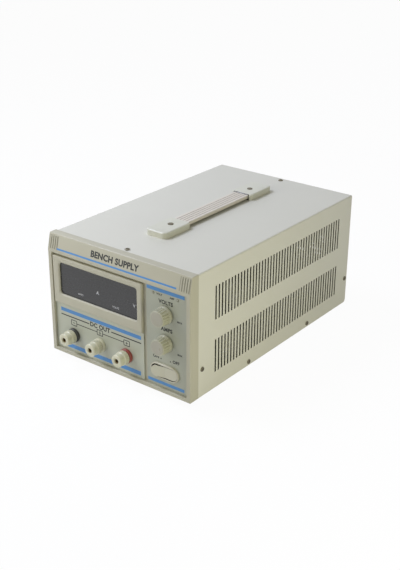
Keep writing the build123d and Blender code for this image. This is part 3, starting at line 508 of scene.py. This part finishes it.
finishes = {
    "cover_paint": sheet_paint("cover_paint"),
    "cover_paint_slot_shade": sheet_paint("cover_paint_slot_shade", True),
    "bezel_plastic": bezel_plastic(),
    "surround_plastic": moulded("surround_plastic", shade(180, 177, 156), 0.42),
    "panel_print": printed_film(),
    "window_tint": smoked_window(),
    "knob_plastic": moulded("knob_plastic", shade(172, 170, 146), 0.38, mottle=0.03),
    # knob_face is the knob's plastic in a darker copy: painted shade on the knob's front face.
    "knob_face": moulded("knob_face", shade(164, 160, 142), 0.3, mottle=0.03),
    "post_cream": moulded("post_cream", shade(200, 197, 168), 0.3, mottle=0.03, coat=0.2),
    "post_black": moulded("post_black", shade(52, 53, 48), 0.3, mottle=0.1, coat=0.2),
    "post_red": moulded("post_red", shade(140, 62, 50), 0.3, mottle=0.08, coat=0.2),
    "handle_plastic": handle_plastic(),
    "rocker_plastic": rocker_plastic(),
    "black_plastic": moulded("black_plastic", shade(38, 38, 40), 0.5, mottle=0.12),
    "lamp_resin": moulded("lamp_resin", shade(150, 150, 132), 0.2, mottle=0.04, coat=0.4),
    "strap_rubber": strap_vinyl(),
    "foot_rubber": rubber("foot_rubber", shade(34, 34, 34), 0.75),
    "contact_metal": metal("contact_brass", shade(128, 102, 64), 0.36, (900.0, 40.0, 900.0)),
    "zinc_sheet": metal("zinc_sheet", shade(178, 180, 180), 0.4, (40.0, 40.0, 900.0)),
    "screw_steel": metal("screw_steel", shade(112, 107, 92), 0.5, (900.0, 900.0, 900.0)),
    "heatsink_aluminium": metal("heatsink_aluminium", shade(180, 181, 182), 0.35, (900.0, 20.0, 900.0)),
    "switch_plastic": switch_plastic(),
    "ferrite": moulded("ferrite", shade(52, 52, 54), 0.6, 900.0, 0.00006, 0.12),
    "winding_tape": moulded("winding_tape", shade(205, 168, 62), 0.3, 700.0, 0.00003, 0.06),
    "can_sleeve": moulded("can_sleeve", shade(40, 46, 60), 0.25, 500.0, 0.00002, 0.1, 0.3),
    "board_laminate": board_laminate(),
    "fuse_glass": fuse_glass(),
    "blue_ink": ink("blue_ink", shade(78, 134, 188)),
    "black_ink": ink("black_ink", shade(40, 42, 38)),
    "white_ink": ink("white_ink", shade(190, 190, 190)),
}

# Every solid of the imported model gets a finish by its own record slot; the top cover instead gets its
# paint with painted shade on the slot walls
record_slots = {entry["node"]: entry["material_slot"] for entry in frame["record"]["subparts"]}
for node, solid in frame["nodes"].items():
    solid.data.materials.clear()
    solid.data.materials.append(finishes["cover_paint_slot_shade" if node == "top_cover" else record_slots[node]])
body_of_node = {
    node: body for body, nodes in frame["record"]["behaviour"]["bodies"].items() for node in nodes
}


# Making pieces


def piece(name, points, faces, body, finish, stands_for=(), smooth=35.0):
    """Puts arrays of points and faces into a mesh, closes its seams and lets it ride on a body."""
    mesh = bpy.data.meshes.new(name)
    mesh.from_pydata(np.asarray(points, float).tolist(), [], [list(map(int, face)) for face in faces])
    work = bmesh.new()
    work.from_mesh(mesh)
    bmesh.ops.remove_doubles(work, verts=work.verts, dist=2e-6)
    bmesh.ops.recalc_face_normals(work, faces=work.faces)
    work.to_mesh(mesh)
    work.free()
    return ready(mesh, name, body, finish, stands_for, smooth)


def ready(mesh, name, body, finish, stands_for=(), smooth=35.0):
    """Gives a finished mesh its object, finish, smoothing and body."""
    mesh.materials.clear()
    mesh.materials.append(finishes[finish])
    mesh.polygons.foreach_set("use_smooth", [True] * len(mesh.polygons))
    mesh.set_sharp_from_angle(angle=radians(smooth))
    thing = bpy.data.objects.new(name, mesh)
    bpy.context.scene.collection.objects.link(thing)
    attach(thing, body)
    if stands_for:
        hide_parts(*stands_for)
    finish in [entry["slot"] for entry in frame["record"]["materials"]]
    return thing


def softened(node, width, segments=3, angle=32.0, finish=None):
    """A solid with its loose triangles merged, its flats made whole and its edges rounded."""
    mesh = frame["nodes"][node].data.copy()
    work = bmesh.new()
    work.from_mesh(mesh)
    bmesh.ops.remove_doubles(work, verts=work.verts, dist=1e-6)
    bmesh.ops.dissolve_limit(work, angle_limit=radians(0.5), verts=work.verts, edges=work.edges)
    work.to_mesh(mesh)
    work.free()
    slot = finish or record_slots[node]
    made = ready(mesh, node + "_finished", body_of_node[node], slot, (node,), angle)
    bevel = made.modifiers.new("rounded edges", "BEVEL")
    bevel.width, bevel.segments = width * MM, segments
    bevel.limit_method, bevel.angle_limit = "ANGLE", radians(angle)
    bevel.harden_normals = True
    return made


def grid_faces(rows, columns, wrapped=True):
    """The four-sided faces of a grid of points, joined round its columns if asked."""
    along = np.arange(rows - 1)[:, None]
    across = np.arange(columns if wrapped else columns - 1)[None, :]
    nearby = (across + 1) % columns
    corners = (along * columns + across, along * columns + nearby)
    corners += ((along + 1) * columns + nearby, (along + 1) * columns + across)
    return np.stack(np.broadcast_arrays(*corners), -1).reshape(-1, 4)


def front_place(x, height, depth=PANEL_DEPTH):
    """A frame on the front: its first axis to the right, second up and third towards the user."""
    turn = np.array(((1, 0, 0), (0, 0, -1), (0, 1, 0)), float)
    return np.array((x, FRONT + depth, FLOOR + height)) * MM, turn


def title_place(x, height):
    """The same on the title strip, leaning back with it."""
    rise = height - LEAN_LOW
    spot = np.array((x, FRONT + rise * LEAN_BACK / LEAN_RISE, FLOOR + height)) * MM
    turn = np.array(((1, 0, 0), (0, sin(LEAN), -cos(LEAN)), (0, cos(LEAN), sin(LEAN))), float)
    return spot, turn


def side_place(side, depth, height):
    """A frame on the cover's left or right side, third axis outwards."""
    turn = np.array(((0, 0, side), (side, 0, 0), (0, 1, 0)), float)
    return np.array((side * COVER_HALF, FRONT + depth, FLOOR + height)) * MM, turn


def top_place(x, depth, height=COVER_TOP):
    """A frame on the top, third axis up."""
    return np.array((x, FRONT + depth, FLOOR + height)) * MM, np.eye(3)


def rear_place(x, height, depth=REAR_DEPTH):
    """A frame on the rear panel, third axis backwards."""
    turn = np.array(((-1, 0, 0), (0, 0, 1), (0, 1, 0)), float)
    return np.array((x, FRONT + depth, FLOOR + height)) * MM, turn


def put(points, place):
    """Points in millimetres of a place's own axes, as metres of the object."""
    spot, turn = place
    return spot + np.asarray(points, float) @ turn.T * MM


def turned(profile, columns=96, ripple=None):
    """A profile of height and radius turned about the third axis.

    Each point lies at angle a and radius r(height, a) = radius - ripple(height, a).
    """
    height, radius = np.asarray(profile, float).T
    angle = np.linspace(0, 2 * pi, columns, endpoint=False)
    reach = radius[:, None] + np.zeros(columns)
    if ripple is not None:
        reach = reach - ripple(height[:, None], angle[None, :])
    points = (reach * np.cos(angle), reach * np.sin(angle), height[:, None] + 0 * angle)
    return np.stack(points, -1).reshape(-1, 3), grid_faces(len(height), columns)


def bar_box(x_from, x_to, low, high, proud=PRINT_PROUD):
    """The eight corners and six faces of a thin bar in a place's own axes."""
    corners = [(x, z, out) for out in (0, proud) for z in (low, high) for x in (x_from, x_to)]
    faces = ((0, 2, 3, 1), (4, 5, 7, 6), (0, 1, 5, 4), (2, 6, 7, 3), (0, 4, 6, 2), (1, 3, 7, 5))
    return np.array(corners, float), np.array(faces)


def gathered(parts):
    """Several point and face sets as one."""
    points, faces, start = [], [], 0
    for these_points, these_faces in parts:
        points.append(these_points)
        faces += [np.asarray(face) + start for face in these_faces]
        start += len(these_points)
    return np.concatenate(points), faces


def lettering(text, size, place, thickness=PRINT_PROUD, bold=0.0):
    """A word centred on a place, its letters thin solids, as points and faces."""
    curve = bpy.data.curves.new("word", "FONT")
    curve.body, curve.align_x, curve.align_y = text, "CENTER", "CENTER"
    curve.size, curve.extrude, curve.offset = size / 0.7, thickness / 2, bold
    curve.resolution_u = 3
    curve.space_character = 1.05
    carrier = bpy.data.objects.new("word", curve)
    bpy.context.scene.collection.objects.link(carrier)
    bpy.context.view_layer.update()
    shape = bpy.data.meshes.new_from_object(carrier.evaluated_get(bpy.context.evaluated_depsgraph_get()))
    flat = np.zeros(len(shape.vertices) * 3)
    shape.vertices.foreach_get("co", flat)
    faces = [list(polygon.vertices) for polygon in shape.polygons]
    bpy.data.objects.remove(carrier)
    bpy.data.curves.remove(curve)
    bpy.data.meshes.remove(shape)
    points = flat.reshape(-1, 3) + (0, 0, thickness / 2)
    return put(points, place), faces


# Case, bezel and panels

softened("front_bezel", 0.35)
softened("display_surround", 0.5)
softened("handle_front_cap", 0.7)
softened("handle_rear_cap", 0.7)
softened("switch_housing", 0.25, 2, finish="switch_plastic")
softened("power_rocker", 0.6)


def grip_ribs():
    """The upright ribs at both ends of the title strip, each a slim bar standing a little proud."""
    low, high = GRIP_HEIGHTS
    for side in (-1, 1):
        for x in np.linspace(*GRIP_PLACES):
            points, faces = bar_box(-GRIP_RIB / 2, GRIP_RIB / 2, (low - high) / 2, (high - low) / 2, 0.45)
            yield put(points, title_place(side * x, (low + high) / 2)), faces


def opening_corner(x, height, inward, upward, window_depth, face_depth):
    """A filler that rounds one corner of the display's opening.

    Its outline is the corner and a quarter circle about a centre one radius in from both edges;
    through the bevel the circle is wider by the bevel.
    """
    angle = np.linspace(-pi / 2, -pi, 10)
    rows = []
    sections = (
        (face_depth + OPENING_LIFT, OPENING_BEVEL),
        (face_depth + OPENING_BEVEL, 0),
        (window_depth, 0),
    )
    for depth, wider in sections:
        reach = OPENING_ROUND + wider
        arc = OPENING_ROUND + reach * np.stack((np.cos(angle), np.sin(angle)), -1)
        outline = np.concatenate(([(-wider - 0.05, -wider - 0.05)], arc))
        places = np.stack((x + inward * outline[:, 0], height + upward * outline[:, 1]), -1)
        rows.append(np.column_stack((places, np.full(len(places), depth))))
    points = np.concatenate(rows)
    count = len(rows[0])
    faces = [*grid_faces(len(rows), count), tuple(range(count))]
    faces.append(tuple(2 * count + number for number in range(count)))
    across, rise, depth = points.T
    return np.stack((across, FRONT + depth, FLOOR + rise), -1) * MM, faces


def opening_corners():
    """All four corners of the display's opening."""
    low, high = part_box("display_surround")
    left, right, bottom, top = OPENING_MARGINS
    window_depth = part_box("display_window")[0].y / MM - FRONT
    for x, inward in ((low.x / MM + left, 1), (high.x / MM - right, -1)):
        for z, upward in ((low.z / MM + bottom, 1), (high.z / MM - top, -1)):
            yield opening_corner(x, z - FLOOR, inward, upward, window_depth, low.y / MM - FRONT)


piece("display_opening_corners", *gathered(list(opening_corners())), "case", "surround_plastic", (), 30)
ribs_piece = piece("title_grip_ribs", *gathered(list(grip_ribs())), "case", "bezel_plastic")
rounding = ribs_piece.modifiers.new("rounded edges", "BEVEL")
rounding.width, rounding.segments = 0.2 * MM, 2


# Print on the front


def rule(bar, place=front_place):
    """A printed bar, as points and faces."""
    x_from, x_to, height, thickness = bar
    middle = (x_from + x_to) / 2
    half = (x_to - x_from) / 2
    points, faces = bar_box(-half, half, -thickness / 2, thickness / 2)
    return put(points, place(middle, height)), faces


def outlet_boxes():
    """The small frames round the outlet marks and the thin line that links them."""
    width, height = OUTLET_BOX
    line = OUTLET_LINE
    for x in TERMINALS.values():
        for offset in (-height / 2, height / 2):
            yield (x - width / 2, x + width / 2, OUTLET_HEIGHT + offset, line)
        for offset in (-width / 2, width / 2):
            yield (x + offset - line / 2, x + offset + line / 2, OUTLET_HEIGHT, height)
    for x_from, x_to in OUTLET_RULES:
        yield (x_from, x_to, OUTLET_HEIGHT, line)


def outlet_marks():
    """Minus, earth and plus signs built from short bars."""
    line = 0.8
    yield (TERMINALS["negative"] - 1.7, TERMINALS["negative"] + 1.7, OUTLET_HEIGHT, line)
    yield (TERMINALS["positive"] - 1.7, TERMINALS["positive"] + 1.7, OUTLET_HEIGHT, line)
    yield (TERMINALS["positive"] - line / 2, TERMINALS["positive"] + line / 2, OUTLET_HEIGHT, 3.4)
    x = TERMINALS["ground"]
    yield (x - line / 2, x + line / 2, OUTLET_HEIGHT + 1.2, 2.4)
    for reach, drop in ((1.9, 0.0), (1.2, 1.0), (0.5, 2.0)):
        yield (x - reach, x + reach, OUTLET_HEIGHT - drop, 0.6)


def arrow(x, height):
    """A small solid triangle pointing up."""
    points = [(px, pz, out) for out in (0, PRINT_PROUD) for px, pz in ((-1.1, -0.9), (1.1, -0.9), (0, 1.1))]
    faces = [(0, 2, 1), (3, 4, 5), (0, 1, 4, 3), (1, 2, 5, 4), (2, 0, 3, 5)]
    return put(points, front_place(x, height)), faces


blue = [rule(bar) for bar in BLUE_STRIPES] + [rule(TITLE_RULE, title_place)]
piece("blue_stripes", *gathered(blue), "case", "blue_ink")
black = [rule(bar) for bar in (*BLACK_RULES, *outlet_boxes(), *outlet_marks())]
black += [arrow(*spot) for spot in ARROWS]
black += [lettering(text, size, front_place(x, z), bold=size * 0.055) for text, x, z, size in PANEL_WORDS]
black.append(lettering(TITLE[0], TITLE[3], title_place(*TITLE[1:3]), bold=0.42))
piece("black_lettering", *gathered(black), "case", "black_ink")
window_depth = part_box("display_window")[0].y / MM - FRONT
white = [
    lettering(text, size, front_place(x, z, window_depth), bold=size * 0.02)
    for text, x, z, size in WINDOW_WORDS
]
piece("window_lettering", *gathered(white), "case", "white_ink")


# Output terminals


def ribs(count, depth, low, high):
    """Upright grooves round a grip: depth times a narrow cosine comb between two heights."""
    def ripple(height, angle):
        comb = np.clip(np.cos(angle * count) * 1.6 - 0.6, 0, 1)
        inside = np.clip((height - low) / 0.3, 0, 1) * np.clip((high - height) / 0.3, 0, 1)
        return depth * comb * inside
    return ripple


COLLAR = ((0.0, 3.06), (0.0, 8.2), (0.25, 8.6), (0.6, 8.7), (3.3, 8.7), (3.8, 8.45), (4.0, 8.0), (4.0, 3.06))
CAP = (
    (4.9, 3.06), (4.9, 7.8), (5.1, 8.2), (5.4, 8.3), (6.2, 8.3), (7.5, 8.3), (9.0, 8.3), (10.2, 8.28),
    (10.7, 8.15), (11.1, 7.8), (11.6, 7.65), (12.4, 7.6), (14.5, 7.58), (16.6, 7.56), (17.3, 7.4),
    (17.75, 7.0), (18.0, 6.4), (18.0, 3.5), (17.8, 3.15), (17.3, 3.06), (4.9, 3.06),
)
for name, x in TERMINALS.items():
    place = front_place(x, TERMINAL_HEIGHT)
    points, faces = turned((*COLLAR, COLLAR[0]))
    colour = {"negative": "post_black", "ground": "post_cream", "positive": "post_red"}[name]
    piece(f"{name}_collar_ring", put(points, place), faces, "case", colour, (f"{name}_collar",), 40)
    points, faces = turned(CAP, 240, ribs(20, 0.45, 5.3, 10.5))
    cap = f"{name}_cap"
    piece(f"{cap}_finished", put(points, place), faces, cap, "post_cream", (cap,), 40)


# Knobs

KNOB_SKIRT = ((0.8, 7.0), (0.8, 10.15), (1.0, 10.35), (1.3, 10.4), (3.4, 10.4), (3.8, 10.3), (4.0, 10.15))
KNOB_SIDE = tuple((4.1 + 9.6 * share, 10.1 - 0.7 * share) for share in np.linspace(0, 1, 14))
KNOB_TOP = ((14.0, 9.35), (14.4, 9.2), (14.65, 8.95), (14.78, 8.6), (14.8, 8.2))
KNOB_WELL = ((4.4, 0.0), (4.4, 7.0), (0.8, 7.0))


def flutes(height, angle):
    """Twenty straight flutes: depth times a broad flat-bottomed cosine comb over the front part."""
    comb = np.clip(np.cos(angle * 20) * 1.4 + 0.25, 0, 1)
    rise = np.clip((height - 4.2) / 0.7, 0, 1) * np.clip((14.5 - height) / 0.5, 0, 1)
    return 0.55 * comb * rise


for name, spot in KNOBS.items():
    place = front_place(*spot)
    outline = (*KNOB_SKIRT, *KNOB_SIDE, *KNOB_TOP, (14.6, 8.05), (14.6, 7.3), *KNOB_WELL)
    points, faces = turned(outline, 288, flutes)
    knob = f"{name}_knob"
    piece(f"{knob}_fluted", put(points, place), faces, knob, "knob_plastic", (knob,), 45)
    disc = ((14.3, 0.0), (14.3, 8.0), (14.72, 8.0), (14.8, 7.85), (14.8, 6.0), (14.76, 3.0), (14.74, 0.0))
    points, faces = turned(disc, 96)
    piece(f"{knob}_disc", put(points, place), faces, knob, "knob_face", (), 45)


# Lamps and screws


def lamp_profile():
    """A flanged lamp whose front is a half ellipse: height = proud times sqrt(1 - r squared)."""
    share = np.linspace(0, 1, 9)
    radius = 1.45 * np.cos(share * pi / 2)
    height = 0.2 + 1.0 * np.sin(share * pi / 2)
    ring = ((-4.9, 0.0), (-4.9, 1.45), (0.0, 1.45), (0.0, 1.9), (0.2, 1.9), (0.3, 1.6))
    return (*ring, *zip(height, radius))


lamps = [turned(lamp_profile(), 32) for _ in LAMPS]
lamps = [(put(points, front_place(*spot)), faces) for (points, faces), spot in zip(lamps, LAMPS)]
piece("status_lamps", *gathered(lamps), "case", "lamp_resin", ("status_leds",), 50)


def screw_head(radius, height, columns=48):
    """A pan head on a grid of rings and angles.

    Its dome is height times the root of 1 - r to the fourth, less a cross recess: two bars,
    each a smooth step in both directions, sunk by most of the height.
    """
    share = np.concatenate((np.linspace(0, 0.9, 12), (0.95, 0.98, 1.0)))[:, None]
    angle = np.linspace(0, 2 * pi, columns, endpoint=False)[None, :]
    x, y = share * np.cos(angle), share * np.sin(angle)
    dome = height * (0.35 + 0.65 * np.sqrt(1 - share ** 4 * 0.98)) + 0 * angle

    def slot(u, v):
        return np.clip((0.16 - np.abs(u)) / 0.05, 0, 1) * np.clip((0.66 - np.abs(v)) / 0.08, 0, 1)

    dome = dome - height * 0.88 * np.maximum(slot(x, y), slot(y, x))
    top = np.stack((x * radius, y * radius, dome), -1).reshape(-1, 3)
    rim = np.stack((np.cos(angle[0]) * radius, np.sin(angle[0]) * radius, 0 * angle[0]), -1)
    points = np.concatenate((top, rim, [(0, 0, 0)]))
    faces = [*grid_faces(len(share) + 1, columns)]
    start = len(share) * columns
    faces += [(start + number, start + (number + 1) % columns, start + columns) for number in range(columns)]
    return points, faces


def screws(name, places, radius, height, body="case"):
    """Screw heads of one size on several places, as one piece."""
    heads = []
    for place in places:
        points, faces = screw_head(radius, height)
        heads.append((put(points, place), faces))
    return piece(name, *gathered(heads), body, "screw_steel", (), 30)


# Radius and height of each kind of head
COVER_HEAD = (2.9, 1.3)
FAN_HEAD = (3.2, 0.95)
INLET_HEAD = (2.9, 0.88)
HANDLE_HEAD = (3.2, 1.4)

places = [side_place(side, *spot) for side in (-1, 1) for spot in COVER_SCREWS_SIDE]
places += [top_place(0, depth) for depth in COVER_SCREWS_TOP]
screws("cover_screw_heads", places, *COVER_HEAD)
screws("fan_screw_heads", [rear_place(*spot) for spot in FAN_SCREWS], *FAN_HEAD)
inlet_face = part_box("mains_inlet")[1].y / MM - FRONT
seats = [rear_place(*spot, inlet_face - 0.9) for spot in INLET_SCREWS]
screws("inlet_screw_heads", seats, *INLET_HEAD)
handle_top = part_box("handle_screws")[1].z / MM - FLOOR
places = [top_place(0, depth, handle_top - HANDLE_HEAD[1]) for depth in HANDLE_SCREWS]
screws("handle_screw_heads", places, *HANDLE_HEAD)


# Strap

front_low, front_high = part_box("strap_front_half")
rear_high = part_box("strap_rear_half")[1]

STRAP_HALF = (front_high.x - front_low.x) / 2 / MM
STRAP_RISE, STRAP_DROP = 1.9, 2.4


def strap_section(steps=4):
    """Half-width and height points round the strap: rounded edges, four grooves along the top.

    The top is the thickness less a depth times a cosine comb, clipped flat between the grooves.
    """
    half, rise, drop = STRAP_HALF, STRAP_RISE, STRAP_DROP
    corner = np.linspace(0, pi / 2, steps)
    edge = 0.7
    x = np.linspace(-half + 1.6, half - 1.6, 81)
    comb = np.clip(np.cos((x / GROOVE_PITCH + 0.5) * 2 * pi) * 2.2 - 1.2, 0, 1)
    top = np.stack((x[::-1], rise - 0.45 * comb[::-1]), -1)
    right = np.stack((half - edge + edge * np.cos(corner), rise - edge + edge * np.sin(corner)), -1)
    left = right[::-1] * (-1, 1)
    below_right = np.stack((right[::-1, 0], rise - drop - right[::-1, 1]), -1)
    below_left = below_right[::-1] * (-1, 1)
    return np.concatenate((right, top, left, below_left, below_right))


def strap_run(depth_from, depth_to, middle, rows):
    """The strap's section carried straight along its length at one height."""
    section = strap_section()
    depth = np.linspace(depth_from, depth_to, rows)
    x = np.broadcast_to(section[:, 0], (rows, len(section)))
    z = middle + np.broadcast_to(section[:, 1], (rows, len(section)))
    y = FRONT + depth[:, None] + 0 * x
    points = np.stack((x, y, FLOOR + z), -1).reshape(-1, 3) * MM
    count = len(section)
    faces = [*grid_faces(rows, count), tuple(range(count))[::-1]]
    faces.append(tuple((rows - 1) * count + number for number in range(count)))
    return points, faces


strap_middle = (front_low.z + front_high.z) / 2 / MM - FLOOR
strap_start, strap_joint = front_low.y / MM - FRONT, front_high.y / MM - FRONT
strap_end = rear_high.y / MM - FRONT
quarter = (strap_start + strap_joint) / 2
three_quarters = (strap_joint + strap_end) / 2
mouth_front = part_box("handle_front_cap")[1].y / MM - FRONT
mouth_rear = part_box("handle_rear_cap")[0].y / MM - FRONT


def bend_point(depth):
    return (0, (FRONT + depth) * MM, (FLOOR + strap_middle) * MM)


BEND_REACH = 20.0
pieces_of_strap = (
    ("strap_front_bow", mouth_front - 3.0, quarter, "case", "strap_front", strap_start),
    ("strap_middle_bow", quarter, three_quarters, "strap_front", "strap_rear", strap_joint),
    ("strap_rear_bow", three_quarters, mouth_rear + 3.0, "strap_rear", "strap_tongue", strap_end),
)
for name, depth_from, depth_to, first, second, hinge in pieces_of_strap:
    points, faces = strap_run(depth_from, depth_to, strap_middle, 40)
    bow = piece(name, points, faces, first, "strap_rubber", (), 30)
    bow.parent = None
    bend_point(hinge - BEND_REACH)
    bend_point(hinge + BEND_REACH)
    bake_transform(bow)
    if name == "strap_middle_bow":
        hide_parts("strap_front_half", "strap_rear_half")


# Studio: floor, lamps and camera

floor_mesh = bpy.data.meshes.new("floor")
reach = 40.0
floor_corners = [(-reach, -reach, 0), (reach, -reach, 0), (reach, reach, 0), (-reach, reach, 0)]
floor_mesh.from_pydata(floor_corners, [], [(0, 1, 2, 3)])
floor = bpy.data.objects.new("floor", floor_mesh)
bpy.context.scene.collection.objects.link(floor)


def white_floor():
    """White paper: it takes the object's shadow, and seen directly most of it is plain white."""
    paper = Finish("white_paper", Base_Color=(0.86, 0.86, 0.86, 1), Roughness=0.9)
    tree = paper.tree
    path = paper.node("ShaderNodeLightPath", output=0)
    seen = path + Signal(paper, path.socket.node.outputs["Is Glossy Ray"])
    glow = paper.node("ShaderNodeEmission", inputs={"Color": (1, 1, 1, 1), "Strength": 1.0})
    mixed = paper.node("ShaderNodeMixShader", inputs={0: seen * 0.96})
    shader = mixed.socket.node
    tree.links.new(paper.shader.outputs[0], shader.inputs[1])
    tree.links.new(glow.socket, shader.inputs[2])
    tree.links.new(mixed.socket, tree.nodes["Material Output"].inputs[0])
    return paper.material


floor_mesh.materials.append(white_floor())

world = bpy.data.worlds.new("studio")
world.use_nodes = True
bpy.context.scene.world = world
nodes, links = world.node_tree.nodes, world.node_tree.links
path = nodes.new("ShaderNodeLightPath")
seen = nodes.new("ShaderNodeMath")
seen.operation, seen.use_clamp = "ADD", True
links.new(path.outputs["Is Camera Ray"], seen.inputs[0])
links.new(path.outputs["Is Glossy Ray"], seen.inputs[1])
strength = nodes.new("ShaderNodeMath")
strength.operation = "MULTIPLY_ADD"
ROOM_LIGHT = 0.31
strength.inputs[1].default_value, strength.inputs[2].default_value = 1 - ROOM_LIGHT, ROOM_LIGHT
links.new(seen.outputs[0], strength.inputs[0])
links.new(strength.outputs[0], nodes["Background"].inputs["Strength"])
nodes["Background"].inputs["Color"].default_value = (1, 1, 1, 1)


def soft_lamp(name, place, aim, size, power, colour):
    """A square soft box at a place, turned to its aim."""
    data = bpy.data.lights.new(name, "AREA")
    data.shape, data.size, data.energy, data.color = "SQUARE", size, power, colour
    lamp = bpy.data.objects.new(name, data)
    lamp.location = place
    lamp.rotation_euler = (Vector(aim) - Vector(place)).to_track_quat("-Z", "Y").to_euler()
    lamp.visible_camera = False
    bpy.context.scene.collection.objects.link(lamp)
    return lamp


COOL, NEUTRAL, WARM = (0.71, 0.765, 1.0), (1.0, 0.99, 0.95), (1.0, 0.98, 0.68)
soft_lamp("overhead_box", (-0.7, -0.3, 1.2), (0, 0, 0.15), 0.5, 14.2, COOL)
soft_lamp("right_box", (0.58, -0.22, 0.1), (0.1, -0.07, 0.08), 0.4, 1.3, WARM)
soft_lamp("front_box", (-0.45, -0.6, 0.4), (0, -0.15, 0.08), 0.4, 1.65, NEUTRAL)

# The camera, solved from the case's corners in the photograph of 400 by 570 pixels
CAMERA_PLACE = (674.4, -883.7, 570.0)
AZIMUTH, ELEVATION, ROLL = radians(37.589), radians(24.493), radians(0.317)
FOCAL_PIXELS, LONG_SIDE_PIXELS, SENSOR = 997.24, 570.0, 36.0
right = Vector((cos(AZIMUTH), sin(AZIMUTH), 0))
back = Vector((sin(AZIMUTH) * cos(ELEVATION), -cos(AZIMUTH) * cos(ELEVATION), sin(ELEVATION)))
up = back.cross(right)
rolled_right = right * cos(ROLL) + up * sin(ROLL)
rolled_up = up * cos(ROLL) - right * sin(ROLL)
camera_data = bpy.data.cameras.new("camera")
camera_data.sensor_width = SENSOR
camera_data.lens = FOCAL_PIXELS * SENSOR / LONG_SIDE_PIXELS
camera_data.clip_start, camera_data.clip_end = 0.05, 100
camera = bpy.data.objects.new("camera", camera_data)
axes = Matrix((rolled_right, rolled_up, back)).transposed().to_4x4()
camera.matrix_world = Matrix.Translation(Vector(CAMERA_PLACE) * MM) @ axes
bpy.context.scene.collection.objects.link(camera)
bpy.context.scene.camera = camera
bpy.context.scene.view_settings.view_transform = "Standard"
